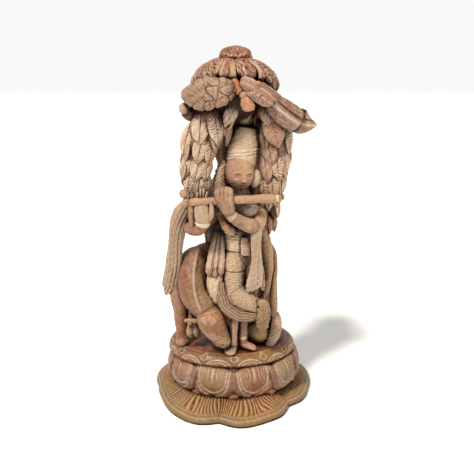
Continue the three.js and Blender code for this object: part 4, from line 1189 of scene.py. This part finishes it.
def flute():
    cfg = playerSettings
    bead = {"grain": 0.5, "olive": 0.3, "ochre": 0.3}
    return [
        form(
            cfg["pipe"], bracelet(69, 71, 0.3), 0.6, ochre=lambda s: 0.3 * ramp(s.x, -6, 4), grey=0.2,
            salmon=lambda s: 0.12 * ramp(s.x, -4, -12), chalk=0.14,
        ),
        ballForm(-39.4, -33.5, 136.4, 3.8, 3.6, 3.8, carve=rings(1.8, 0.3, 0.3), **bead),
        ballForm(-37.2, -34, 129.6, 3.8, 3.6, 3.8, carve=rings(1.8, 0.2, 0.2), **bead),
        ballForm(39.4, -33.6, 133.8, 1.8, 2.2, 2.6, grain=0.5),
        form(cfg["finger"], None, 0.5, rust=0.15, chalk=0.1),
    ]


# Cloth ends in a slanted edge: nothing hangs below a line that rises to the right.
def cutBelow(x, z, slope):
    def trim(points):
        low = z + (points[:, 0] - x) * slope
        points[:, 2] = np.where(points[:, 2] < z + 30, np.maximum(points[:, 2], low), points[:, 2])
    return trim


def drapery():
    cfg = playerSettings
    scarf = {"olive": 0.4, "grey": 0.35, "shade": 0.1}
    sashTint = {"chalk": lambda s: 0.3 * (s.z > 74), "rust": lambda s: 0.5 * (s.z < 73), "olive": 0.25}

    def sash(x0, x1, low):
        return [
            [x0, -17, 102, 2.2, 2.4], [(x0 + x1) / 2, -22.5, 90, 2.7, 2.6], [x1, -27, 78, 3, 2.6],
            [x1 - 0.8, -30, low, 3.1, 3], [x1 - 0.8, -30, low - 3, 1.4, 1.6],
        ]

    parts = [
        form(
            cfg["scarfLeft"], folds(3.1, 0.4, 0.3, 0.5, 0.8), 0.6, chalk=0.3,
            rust=lambda s: 0.35 * hill(s.around - 4, 1.5), trim=cutBelow(-60, 42.6, 0.42), **scarf,
        ),
        form(
            cfg["scarfRight"], folds(2.5, 0.35, 0.3, 0.5, 0.9), 0.55, chalk=0.36,
            trim=cutBelow(10, 52.4, 0.55), **scarf,
        ),
        form(cfg["scarfTail"], folds(1.9, 0.4, 0.3), 0.55, chalk=0.22, **scarf),
        form(cfg["skirtLeft"], folds(3.6, 0.35, 0.3, 0.5, 0.8), 0.58, olive=0.3, grey=0.3, chalk=0.5),
        form(
            cfg["skirtMiddle"], folds(2.2, 0.5, 0.4, 0.55, 0.8), 0.58, olive=0.4, grey=0.4, chalk=0.28,
            shade=0.1,
        ),
        form(cfg["necklace"], beads(2.4, 0.4, 0.3), 0.5, olive=0.3, chalk=0.6),
    ]
    for x0, x1, low in cfg["sashes"]:
        parts.append(form(sash(x0, x1, low), folds(1.7, 0.35, 0.35, 0.45), 0.5, **sashTint))
    return parts


joined("flutePlayer", dancer() + flute() + drapery(), playerSettings["spots"])


# Leaves, for the tree and the garlands alike

# A leaf's colours with a dark rim, dirt and painted shade in the gaps between leaves; a canopy leaf is also
# dark in its cuts and has a painted shadow under its tip.
def rimmed(tone, strength, canopy=False):
    def rim(s):
        atTip = np.maximum(np.abs(s.side), 1 - (s.length - s.along) / 2.5)
        return strength * ramp(atTip, 0.86, 1.0) + (0.6 * s.cut + 0.9 * s.under if canopy else 0)
    return {**tone, "shade": rim}


# Veins on both sides of a middle rib, inside a border
def veined(pitch=2.2, slant=1.1, depth=0.35, chalk=0.25, rib=0.5, edge=0.9, pale=0.5):
    def carve(s):
        reachOut = np.abs(s.side)
        flow = s.along - slant * np.abs(s.around) + 0.04 * s.around**2
        flow = flow + 0.5 * np.sin(s.x * 0.7 + s.z * 0.45)
        vein = line(near(flow, pitch), 0.45) * (0.65 + 0.35 * np.sin(s.x * 1.1 - s.z * 0.6))
        middle = line(s.around, 0.5)
        border = line(reachOut - edge, 0.07)
        front = s.face > 0
        cut = vein * (reachOut < edge)
        s.cut = cut * front
        s.edge = border * front
        raised = -depth * cut - rib * middle - 0.3 * border
        return raised * front, (chalk * cut + 0.3 * middle + pale * border) * front
    return carve


# A pointed leaf from its top to its tip, bowed toward the side that it faces
def hangingLeaf(start, end, halfWidth, thickness, bow, facing, carve=None, grain=0.62, **tint):
    start = np.array(start, float)
    end = np.array(end, float)
    toward = np.array(facing, float)
    # share of the length, width and thickness
    rows = [
        (0, 0.4, 0.7), (0.25, 0.9, 1), (0.48, 1.08, 1), (0.72, 0.84, 0.9), (0.9, 0.36, 0.7), (1, 0.1, 0.4),
    ]
    stations = [
        [*(start + (end - start) * t + toward * bow * math.sin(math.pi * t)), halfWidth * w, thickness * d]
        for t, w, d in rows
    ]
    return form(stations, carve or veined(), grain, facing, **rimmed(tint, 0.8))


# Plump cells with strokes in them, round the given centres
def cellCarve(centres):
    centres = np.array(centres, float)

    def carve(s):
        bent = s.x + 1.2 * np.sin(s.z * 0.5)
        away = np.hypot(bent[:, None] - centres[:, 0], (s.z[:, None] - centres[:, 1]) * 0.85)
        order = np.sort(away, axis=1)
        rim = order[:, 1] - order[:, 0]
        rim = rim + 3 * ramp(s.x, -21, -26) * ramp(s.z, 207, 211)
        slanting = 0.62 * s.x + 0.78 * s.z + 0.5 * np.sin(s.x * 0.7)
        inner = np.where(s.x > -22, order[:, 0] + 0.1 * s.x, slanting)
        strokes = line(near(inner + 0.5 * np.sin(s.x * 0.9 + s.z * 0.7), 2.3), 0.55) * (rim > 1.2)
        strokes = strokes * (0.6 + 0.4 * np.sin(s.x * 0.5 - s.z * 0.8))
        border = line(rim, 0.6)
        front = s.face > -0.3
        s.cell = strokes * front
        s.rim = border * front
        raised = 0.8 * ramp(rim, 0, 2.6) - 0.4 - 0.35 * strokes
        return raised * front, 0.17 * np.clip(1 - border - strokes, 0, 1) * front
    return carve


# A broad leaf that lies on the dome of the crown
def canopyLeaf(degrees, low, wide, out, kind, **tint):
    turn = math.radians(degrees - 90)
    cx, cy = math.cos(turn), math.sin(turn)
    last = math.acos((low - 212) / 28)
    stations = []
    rows = [(0, 0.72, 2.6), (0.25, 0.95, 3.2), (0.5, 1.08, 3.6), (0.75, 1.04, 3.6), (1, 0.7, 2.6)]
    for share, w, d in rows:
        bend = 0.26 + (last - 0.26) * share
        r = (34 + out) * math.sin(bend)
        stations.append([0.8 + r * cx, -3 + r * cy * 0.9, 212 + 27.6 * math.cos(bend), wide * w, d])

    def carve(s):
        bend = 0.9 * s.around + 0.05 * s.around**2
        fan = s.around / np.maximum(0.45 + 0.06 * s.along, 0.5) + 0.25 * np.sin(s.along * 0.9)
        if kind == "cut":
            vein = line(near(s.along + bend + 0.7 * np.sin(s.around * 0.8 + degrees), 3.3), 0.85)
        else:
            vein = line(near(fan, 2.1), 0.6)
        vein = vein * (0.55 + 0.45 * np.sin(s.along * 0.7 + s.around * 1.3 + degrees))
        middle = line(s.around - 0.3 * wide, 0.6)
        border = line(np.abs(s.side) - 0.84, 0.08)
        front = s.face > 0
        plain = 0.25 if kind == "smooth" else 1.0
        s.cut = vein * front * plain
        # under the leaf's tip, where its painted shadow goes
        s.under = ramp(s.length - s.along, 2.6, 1)
        fine = line(near(s.along + 0.5 * s.around + 1.4 * np.sin(s.around * 0.7), 2.7), 0.4) * (1 - vein)
        raised = -0.8 * vein * plain - 0.5 * middle - 0.4 * border - 0.2 * fine
        return raised * front, (0.55 * middle + 0.65 * border + 0.26 * fine * plain) * front

    tint = rimmed(tint, 0.95, canopy=True)
    return form(stations, carve, 0.55, (cx, cy, 0.3), reach=wide * 0.8, crisp=0.7, **tint)


# Tree: trunk, crown of hanging leaves, bunches at its front
treeSettings = {
    # canopy leaves: degrees round from the front, lowest point, half-width, how far they stand out,
    # kind of carving and share of red
    "canopy": [
        (20, 224.4, 8, 3.6, "fan", 0.7), (-14, 224.8, 5, 3.2, "smooth", 0.75),
        (-27, 226, 2.6, 1.6, "smooth", 0), (43, 223.4, 3.2, 1.4, "smooth", 0.05),
        (-40, 221.4, 7, 0.8, "cut", 0.65), (-66, 218, 7, -1, "cut", 0.8), (58, 219.8, 6, 2, "cut", 0.8),
        (77, 215.6, 6.8, -1, "cut", 0.8), (97, 214, 7.2, 0.6, "cut", 0.5), (120, 216, 7.4, -0.4, "cut", 0.4),
        (145, 214, 7.4, 0.6, "fan", 0.5), (170, 216, 7.4, -0.4, "cut", 0.5),
        (195, 214, 7.4, 0.6, "cut", 0.4), (220, 216, 7.4, -0.4, "fan", 0.5),
        (244, 214, 7.2, 0.6, "cut", 0.5), (268, 216, 7, -0.2, "cut", 0.5),
    ],
    "trunk": [
        [2, 14, -2, 27, 11], [2, 15, 20, 23, 10], [2, 15, 60, 25, 11], [2.5, 11, 88, 28, 11],
        [2.5, 9, 108, 29, 11], [4, 9, 130, 25, 10], [6.4, 10, 150, 20, 10], [4, 8, 172, 23, 11],
        [2, 2, 196, 30, 19], [1, -1, 212, 32, 26], [1, -2, 222, 26, 22],
    ],
    "knob": [
        [2, -2, 233, 11, 10], [2, -2, 237, 12.6, 12], [2, -2, 241, 13.4, 12.6], [2, -2, 244.6, 12.6, 11.8],
        [2, -2, 247.6, 9.8, 9.2], [2, -2, 249.2, 6, 5.6], [2, -2, 249.9, 2.6, 2.4],
    ],
    "bunchLeft": [
        [-39, -19, 211.5, 3, 3], [-33.6, -26, 212.2, 6.6, 6.5], [-25, -33, 213, 11.4, 9],
        [-12, -36, 215.6, 10.8, 9], [-2, -37, 218.4, 7.4, 7], [3.4, -36, 220, 2.4, 2.4],
    ],
    "budStem": [[-1, -34, 224, 3.6, 3], [2.6, -37.6, 219.6, 4.2, 3.2], [6.6, -39.6, 215, 3.4, 3]],
    "bud": [
        [8.4, -41, 212.6, 3, 2.6], [10, -42, 209, 4.8, 3.6], [11.6, -42.2, 205, 5, 3.6],
        [12.2, -41.4, 202, 3.4, 2.8],
    ],
    "longStem": [
        [18, -27, 221, 4, 3.6], [26, -30.5, 215, 5.2, 4.2], [34, -32.5, 208, 5.6, 4.4], [38, -33, 204, 3, 3],
    ],
    "longLeaf": [
        [27, -31.5, 210.5, 5, 4], [33, -33.6, 205.2, 8.6, 5], [41, -34.6, 199, 10, 5],
        [48, -34.2, 194, 9.8, 4.6], [52, -33.6, 191.4, 8.2, 3.8],
    ],
    "longTip": [
        [46, -28, 197, 9, 3], [52.5, -28.4, 192.6, 9.6, 3], [58.5, -29, 190.6, 6.4, 2.6],
        [65.4, -29.4, 190.4, 0.8, 0.8],
    ],
    "strap": [
        [29, -31, 212.5, 1.6, 1.8], [33.2, -32, 206.5, 1.9, 2], [33.6, -32, 200, 1.9, 2],
        [31.4, -31.8, 194, 1.7, 1.7], [28.4, -31.2, 190, 1, 1],
    ],
    "lobes": [
        [
            [6, -37, 223.4, 3, 3], [10, -40, 222.4, 5.2, 4.6], [15.4, -41.5, 219.6, 5.2, 4.8],
            [21, -41, 216.6, 3.2, 3.2],
        ],
        [
            [9, -38.5, 218.4, 3, 3], [14, -41, 216, 5.2, 4.8], [20, -42, 213.8, 6.2, 5],
            [25.5, -41.5, 210, 5.6, 4.6], [30, -40.5, 206.8, 3, 3],
        ],
    ],
    # small leaves above the flute's end: top, tip and half-width
    "lowLeaves": [
        ((26, -13, 118), (29.6, -15, 96), 4.6), ((32, -11, 116), (34.6, -13, 99), 3.6),
        ((25, -12, 100), (29, -14, 84), 4.4),
    ],
    "underLeaf": [
        [-41, -19, 198, 1.6, 2], [-35, -20, 197, 4.6, 3.6], [-27, -19, 197.5, 5.6, 4], [-18, -17, 202, 3, 3],
    ],
    "curl": [
        [12.6, -19, 237.4, 1.2, 1.4], [17.8, -24.4, 234, 1.5, 1.7], [20.6, -28.2, 229.4, 1.5, 1.7],
        [20.2, -30.4, 225, 1, 1],
    ],
    "stem": [
        [-1, -18, 237.4, 3.2, 2.4], [-1, -26, 233, 3.6, 2.8], [-0.6, -29.6, 228, 3.8, 3],
        [-0.4, -30.4, 224, 3, 2.4],
    ],
    "straps": [
        [5, -20, 208, 1.3, 1.5], [2.4, -24, 199, 1.4, 1.8], [-1.4, -27, 190, 1.3, 1.6],
        [-4.4, -27.6, 186, 0.8, 0.9],
    ],
    # the shade spots are painted shadows under the bunches and the bud and on the trunk beside the left arm
    # and head; the chalk spot on the trunk above the crown is painted light
    "spots": [
        ("ochre", 0, -30, 278, 5, 0.5), ("salmon", 2, -30, 286, 10, 0.3), ("rust", 30, -24, 280, 8, 0.25),
        ("shade", -10, -20, 254, 9, 0.9), ("shade", -4, -10, 250, 6, 0.7), ("shade", -24, -24, 252, 9, 0.8),
        ("shade", 0, -22, 255, 8, 0.6), ("shade", -14, -14, 246, 8, 0.8), ("shade", 25, -30, 256, 6, 0.8),
        ("olive", 10, -4, 250, 12, 0.5), ("chalk", 12, -4, 244, 8, 0.5), ("shade", -17, 0, 150, 13, 0.95),
        ("shade", -16, 0, 166, 12, 0.8), ("shade", 28, -20, 246, 6, 0.8), ("ochre", -20, -26, 276, 9, 0.3),
    ],
}


# Plain bark lines
def trunkCarve(s):
    bark = line(near(s.around + 1.5 * np.sin(s.along * 0.09), 8.6), 2.4)
    s.cut = bark
    return -0.6 * bark, 0 * bark


def tree():
    cfg = treeSettings
    cells = []
    for row in range(3):
        for column in range(6):
            x = -43 + 8.6 * column + (row % 2) * 4.3 + 1.4 * math.sin(row * 3.1 + column * 2.3)
            z = 203 + 8.6 * row + 0.16 * (x + 40) + 1.6 * math.sin(column * 1.7 + row)
            cells.append((x + 2.4 * math.sin(row * 5 + column * 4), z))

    def knobCarve(s):
        ring = line(s.z - 238.8, 0.7)
        flaw = line(near(s.around + 0.8 * (s.z - 244) + 1.6 * np.sin(s.z), 3.4), 0.7)
        flaw = flaw * ramp(s.z, 240, 242)
        bow = hill(s.z - 241.6 - 0.03 * (s.x - 1) ** 2, 1.1) * (np.abs(s.x - 1) < 9) * (s.face > 0)
        s.cut = flaw
        patch = np.cos(s.x * 0.9 + 1.1 * np.sin(s.z * 0.8)) * np.cos(s.z * 0.9 + s.x * 0.3)
        raised = -0.7 * ring - 0.5 * flaw + 0.4 * bow + 0.25 * patch
        return raised, 0.2 * bow + 0.1 * ramp(patch, 0.2, 1)

    def knobShade(s):
        hollow = 0.35 * hill(s.x + 5, 4) * ramp(s.z, 243, 246)
        return 0.45 * s.cut + hollow + 0.4 * hill(s.z - 238.6, 0.9)

    def budCarve(s):
        vein = line(near(np.arctan2(s.x - 10, 213 - s.z) * 9, 1.9), 0.4)
        return -0.3 * vein, 0.25 * vein

    def longCarve(s):
        edge = line(s.around + 3.4, 0.7)
        ridge = hill(s.around - 0.6, 1.4)
        vein = line(near(s.along + 0.8 * s.around, 4.2), 0.4)
        front = s.face > 0
        streak = line(near(s.around + 0.6 * np.sin(s.along * 0.3), 2.7), 0.4)
        streak = streak * (0.5 + 0.5 * np.sin(s.along * 0.5 + s.around * 2))
        raised = 0.5 * ridge - 0.6 * edge - 0.3 * vein - 0.3 * streak
        return raised * front, (0.3 * ridge + 0.16 * vein + 0.34 * streak) * front

    parts = [
        form(cfg["trunk"], trunkCarve, 1.3, rust=0.35, shade=lambda s: 0.1 + 0.2 * s.cut),
        # a near-black core ball that shows in the gaps between the canopy leaves: painted shade
        ballForm(0.8, -3, 212, 30, 26.5, 24.5, grain=1.3, rust=0.4, shade=0.9),
        form(
            cfg["knob"], knobCarve, 0.6, rust=lambda s: 0.4 * ramp(s.z, 238.4, 240) + 0.4 * s.cut,
            salmon=lambda s: 0.3 + 0.5 * ramp(s.z, 245, 241), shade=knobShade,
        ),
        form(
            cfg["bunchLeft"], cellCarve(cells), 0.5, rust=lambda s: 0.25 + 0.75 * s.cell, olive=0.15,
            # the bunch darkens toward its right end: painted shade; its cell rims and strokes are dark cuts
            shade=lambda s: 0.1 + 0.45 * s.rim + 0.25 * s.cell + 0.5 * ramp(s.x, -5, 2), crisp=0.85,
        ),
        ballForm(-38.4, -21, 202, 4.4, 4.4, 4.6, grain=0.6, grey=0.4, chalk=0.4),
        ballForm(10, -11, 195, 9, 8, 9, grain=0.8, olive=0.5, ochre=0.2, chalk=0.2),
        # painted shade: the leaf and the ball below the left bunch are dark where the bunch's shadow falls
        form(cfg["underLeaf"], veined(1.8), 0.65, rust=0.5, shade=0.6),
        ballForm(-34, -17, 202.5, 5, 4, 5, grain=0.8, shade=0.9),
        form(cfg["budStem"], None, 0.5, salmon=0.65),
        ballForm(8.8, -40.6, 213.6, 4.2, 3.2, 3.6, grain=0.5, grey=0.8, chalk=0.15),
        form(
            cfg["bud"], budCarve, 0.42, salmon=0.55, ochre=0.15, chalk=0.02,
            rust=lambda s: 0.5 * ramp(s.side, 0.6, 0.95), reach=1.6, crisp=0.75,
        ),
        form(
            cfg["longLeaf"], longCarve, 0.65, grey=lambda s: 0.95 * ramp(s.around, -3.6, -3),
            olive=lambda s: 0.4 * ramp(s.around, -3.2, -3.8), rust=lambda s: 0.35 * hill(s.around + 6, 2.5),
            shade=lambda s: 0.14 + 0.6 * hill(s.around + 3.4, 0.9) + 0.5 * ramp(np.abs(s.side), 0.93, 1),
        ),
        form(
            cfg["longTip"], longCarve, 0.65, grey=0.55, olive=0.12, chalk=0.06,
            # painted shade where the tip starts behind the long leaf
            shade=lambda s: 0.1 + 0.9 * ramp(s.along, 10, 7),
        ),
        form(
            cfg["longStem"], longCarve, 0.65, grey=0.5, olive=0.2, salmon=0.1,
            shade=lambda s: 0.1 + 0.5 * ramp(np.abs(s.side), 0.9, 1),
        ),
        form(cfg["strap"], None, 0.6, rust=0.35),
        hangingLeaf(
            (25, -27, 210), (28, -31, 188.6), 5.8, 2.8, 2, towardViewer, folds(2, 0.45, 0.3), chalk=0.2,
        ),
        hangingLeaf(
            (28, -27, 200), (35.6, -29.5, 172), 8.2, 3, 2, towardViewer, veined(3, 1, 0.4, 0.05),
            rust=lambda s: 0.3 + 0.6 * s.cut, chalk=lambda s: 0.2 * (1 - s.cut), salmon=0.15,
        ),
        hangingLeaf(
            (1, -24, 208), (-7, -27, 188), 5.4, 2.6, 1.6, (0.4, -1, 0), folds(2.2, 0.45, 0.3), chalk=0.65,
            grey=0.2,
        ),
        hangingLeaf(
            (-3, -17, 194), (-6, -20, 172), 3.4, 2, 1.4, (0.8, -1, 0), veined(1.8), chalk=0.2, grey=0.2,
        ),
        hangingLeaf((-9, -19, 186), (-14.6, -21, 168), 3.4, 2, 1.4, (0.6, -1, 0), veined(1.8)),
    ]
    for start, end, wide in cfg["lowLeaves"]:
        parts.append(hangingLeaf(
            start, end, wide, 2.4, 1.4, towardViewer, veined(2.2, 1, 0.5, 0.3), 0.6, rust=0.35, ochre=0.5,
        ))
    # the bunch of plump lobes on the right
    for lobe in cfg["lobes"]:
        parts.append(form(
            lobe, veined(2.6, 0.9, 0.45, 0.15, 0.3, 0.8), 0.5, crisp=0.85, grey=0.6, chalk=0.06,
            rust=lambda s: 0.12 + 0.7 * s.cut, shade=lambda s: 0.6 * ramp(np.abs(s.side), 0.93, 1),
        ))
    parts.append(ballForm(18.6, -43.6, 222.6, 2.2, 1.8, 1.8, grain=0.5, salmon=0.8))
    # a thin strap, a curled leaf and the bare stem between the front leaves
    parts.append(form(cfg["straps"], None, 0.5, chalk=0.4))
    parts.append(form(cfg["curl"], None, 0.5, (0.3, -1, 0.4), chalk=0.35, ochre=0.2))
    parts.append(form(cfg["stem"], folds(2, 0.4, 0.3), 0.55, (0, -1, 0.5), ochre=0.25, chalk=0.2))
    for degrees, low, wide, out, kind, tone in cfg["canopy"]:
        red = lambda s: tone * 0.95 + s.cut
        dust = lambda s: (0.3 - 0.34 * tone) * (1 - s.cut)
        leaf = canopyLeaf(
            degrees, low, wide, out, kind, rust=red, chalk=dust, salmon=0.16, olive=0.2 if tone < 0.2 else 0,
        )
        parts.append(leaf)
    joined("leafyCrown", parts, cfg["spots"])


tree()


# Garlands of overlapping pointed leaves. Each leaf in front is placed: top x, y, z, tip x, y, z,
# half-width and share of red. Leaves at the sides and back follow in rows.
garlandSettings = {
    "left": {
        "branch": [
            [-14, -14, 206, 11, 9], [-21, -21, 192, 11.4, 7.5], [-27.4, -20, 178, 10.8, 7],
            [-31, -18, 162, 10.4, 6.6], [-31, -17.5, 149, 7.4, 6], [-29.4, -18, 137, 4.4, 4.6],
            [-29, -20, 129, 3, 3.4],
        ],
        "leaves": [
            (-17, -24, 203, -12, -26.5, 175, 6.2, 0.05), (-25, -26, 199, -27, -28, 176, 6.2, 0.1),
            (-33, -22, 190, -39.4, -23, 166, 5.2, 0.05), (-24, -24, 183, -29, -27, 161, 5.6, 0.25),
            (-17, -22, 183, -20.6, -25.6, 158, 4.6, 0.6), (-34, -20, 172, -40, -22, 148, 5.2, 0.1),
            (-26, -22, 168, -31, -25.6, 146, 5.6, 0.05), (-20.6, -22, 166, -23, -25, 147, 4.6, 0.4),
            (-33, -20, 156, -36, -22.6, 136, 5, 0.05), (-26, -21, 153, -29, -24.6, 133, 5, 0.1),
            (-22, -20, 153, -21.6, -23.4, 137, 3.6, 0.3), (-33.4, -19, 145, -34, -23, 125, 4, 0.1),
        ],
        # the shade spots are painted shadow under the left bunch
        "spots": [
            ("shade", -16, -26, 253, 7, 0.9), ("shade", -26, -26, 251, 5, 0.7),
            ("shade", -12, -20, 244, 6, 0.4),
        ],
        "dust": 0.8,
        "borderDust": 0.6,
        "salmon": 0.12,
    },
    "right": {
        "branch": [
            [22, -12, 208, 11, 9], [31.4, -17, 195, 9.4, 7.5], [35.6, -18, 180, 9.6, 7.4],
            [34, -17, 162, 8.6, 7], [31.2, -16, 147, 7.4, 6.4], [30, -17, 133, 6, 5.6],
            [32.6, -15, 121, 4.8, 4.4], [34.6, -15, 112.5, 2.6, 2.6],
        ],
        "leaves": [
            (38.6, -20, 195, 45, -20, 169, 5, 0.05), (25, -22, 190, 26, -24, 171, 4.4, 0.6),
            (27, -22, 180, 32, -25, 158, 5.4, 0.5), (39, -19, 176, 41, -21, 149, 5.4, 0.05),
            (33, -21, 170, 37, -24.6, 147, 5.4, 0.3), (25, -20, 168, 28.6, -24, 144, 5, 0.6),
            (36.6, -18, 158, 38.6, -21.4, 134, 5, 0.1), (30, -19, 154, 33, -23.6, 131, 5.2, 0.3),
            (24.6, -18, 152, 26, -22.6, 132, 4.6, 0.5), (33, -18, 142, 36, -21, 124, 4.8, 0.15),
            (28, -18, 140, 29, -21, 121, 4.4, 0.3),
        ],
        # the shade spots are painted shadows under the leaves above and under the flute
        "spots": [
            ("rust", 26, -22, 236, 8, 0.6), ("shade", 26, -22, 244, 6, 0.7), ("shade", 26, -20, 180, 6, 0.5),
        ],
        "dust": 0.72,
        "borderDust": 0.2,
        "salmon": 0.26,
    },
    # rows of plain leaves: shares of the branch's half-width to the side and of its half-depth to the back
    "columns": [(-0.85, -0.45), (0.85, -0.45), (-0.9, 0.35), (0.9, 0.35), (0, 0.9)],
    "leavesPerColumn": 5,
}


def garland(side):
    cfg = garlandSettings[side]
    count = garlandSettings["leavesPerColumn"]
    rows = np.array(cfg["branch"], float)
    parts = [form(rows * (1, 1, 1, 1, 1.16), veined(2.4, 1.2, 0.3, 0.2), 1.0, shade=0.3, rust=0.4)]
    middle = rows[:, 0].mean()
    for number, (x0, y0, z0, x1, y1, z1, wide, red) in enumerate(cfg["leaves"]):
        facing = ((x0 - middle) * 0.06, -1, 0.12)
        pitch = (2.4, 3.0, 2.2, 3.4)[number % 4]
        lean = (0.7, 2.4, 1.2, 3.5)[number % 4]
        carve = veined(pitch, lean, 0.55, 0.0, 0.6, 0.84, cfg["borderDust"])
        parts.append(hangingLeaf(
            (x0, y0, z0), (x1, y1, z1 - 2), wide * 1.1, 2.5, 1.2, facing, carve, 0.5, grey=0.1,
            rust=lambda s: 0.9 * red + (0.75 + 0.4 * red) * s.cut + 2.4 * red * s.edge,
            chalk=lambda s: cfg["dust"] * (1 - 0.9 * red) * (1 - s.cut), salmon=cfg["salmon"],
        ))
    for column, (shift, toBack) in enumerate(garlandSettings["columns"]):
        for i in range(count):
            t = (i + (0.5 if column in (1, 2, 4) else 0)) / count * 0.86
            x, y, z, w, d = curveAt(rows, np.array([t]))[0]
            start = (x + shift * w * 0.75, y + toBack * d * 0.55, z + 3)
            end = (x + shift * w * 1.1, y + toBack * d * 1.08, z - 19 + 5 * t)
            red = 0.1 + 0.12 * (i % 3)
            fine = 0.6 if toBack < 0 else 0.85
            parts.append(hangingLeaf(
                start, end, min(w * 0.62, 5.6), 2.3, 1.2, (shift, toBack, 0.1),
                veined(2.5, 1.0, 0.4, 0.0, 0.4, 0.86), fine, grey=0.15, ochre=0.08 * (column % 3),
                rust=lambda s: red + 0.8 * s.cut, chalk=lambda s: 0.4 * (1 - s.cut),
            ))
    return parts


for side in ("left", "right"):
    joined(side + "Garland", garland(side), garlandSettings[side]["spots"])


# Floor, light and camera
stageSettings = {
    "floorSize": 4,
    "floorPale": (0.93, 0.93, 0.93, 1),
    "floorRoughness": 0.9,
    # the white sky is bright behind the work and dim in front of it
    "skyFrom": (-0.1, 0.6),
    "skyTo": (0.22, 0.95),
    "sunPower": 4.6,
    "sunAngle": 0.16,
    "sunColour": (1, 0.93, 0.83),
    "sunAim": (0.42, 0.55, -1.0),
    "fillPower": 4,
    "fillSize": 0.5,
    "fillColour": (1, 0.93, 0.85),
    "fillPlace": (0.7, -0.7, 0.45),
    "fillTarget": (0, 0, 0.15),
    "cameraPlace": (0.003, -0.56, 0.3),
    "degreesDown": 15.8304,
    "sensor": 36,
    "focalPixels": 677.14,
    "picturePixels": 474,
}


# A light that shines along the given direction
def lamp(name, kind, power, colour, aim):
    light = bpy.data.lights.new(name, kind)
    light.energy = power
    light.color = colour
    holder = bpy.data.objects.new(name, light)
    holder.rotation_euler = Vector(aim).to_track_quat("-Z", "Y").to_euler()
    bpy.context.scene.collection.objects.link(holder)
    return holder


def stage():
    cfg = stageSettings
    bm = bmesh.new()
    bmesh.ops.create_grid(bm, x_segments=2, y_segments=2, size=cfg["floorSize"])
    floorMesh = bpy.data.meshes.new("floor")
    bm.to_mesh(floorMesh)
    bm.free()
    paint = bpy.data.materials.new("palePaint")
    paint.use_nodes = True
    coat = paint.node_tree.nodes["Principled BSDF"].inputs
    coat["Base Color"].default_value = cfg["floorPale"]
    coat["Roughness"].default_value = cfg["floorRoughness"]
    floorMesh.materials.append(paint)
    floor = bpy.data.objects.new("floor", floorMesh)
    bpy.context.scene.collection.objects.link(floor)

    world = bpy.data.worlds.new("studio")
    world.use_nodes = True
    sky = world.node_tree.nodes
    heading = sky.new("ShaderNodeTexCoord").outputs["Generated"]
    split = sky.new("ShaderNodeSeparateXYZ")
    behind = sky.new("ShaderNodeMapRange")
    behind.inputs["From Min"].default_value = cfg["skyFrom"][0]
    behind.inputs["From Max"].default_value = cfg["skyFrom"][1]
    behind.inputs["To Min"].default_value = cfg["skyTo"][0]
    behind.inputs["To Max"].default_value = cfg["skyTo"][1]
    world.node_tree.links.new(heading, split.inputs[0])
    world.node_tree.links.new(split.outputs[1], behind.inputs[0])
    world.node_tree.links.new(behind.outputs[0], sky["Background"].inputs[1])
    sky["Background"].inputs[0].default_value = (1, 1, 1, 1)
    bpy.context.scene.world = world
    sun = lamp("key", "SUN", cfg["sunPower"], cfg["sunColour"], cfg["sunAim"])
    sun.data.angle = cfg["sunAngle"]
    aim = Vector(cfg["fillTarget"]) - Vector(cfg["fillPlace"])
    fill = lamp("fill", "AREA", cfg["fillPower"], cfg["fillColour"], aim)
    fill.data.size = cfg["fillSize"]
    fill.location = cfg["fillPlace"]

    camera = bpy.data.objects.new("camera", bpy.data.cameras.new("camera"))
    camera.data.sensor_width = cfg["sensor"]
    camera.data.lens = cfg["sensor"] * cfg["focalPixels"] / cfg["picturePixels"]
    camera.data.clip_start = 0.01
    camera.location = cfg["cameraPlace"]
    camera.rotation_euler = (math.radians(90 - cfg["degreesDown"]), 0, 0)
    bpy.context.scene.collection.objects.link(camera)
    bpy.context.scene.camera = camera
    bpy.context.scene.view_settings.view_transform = "Standard"
    print("stage ready")


stage()
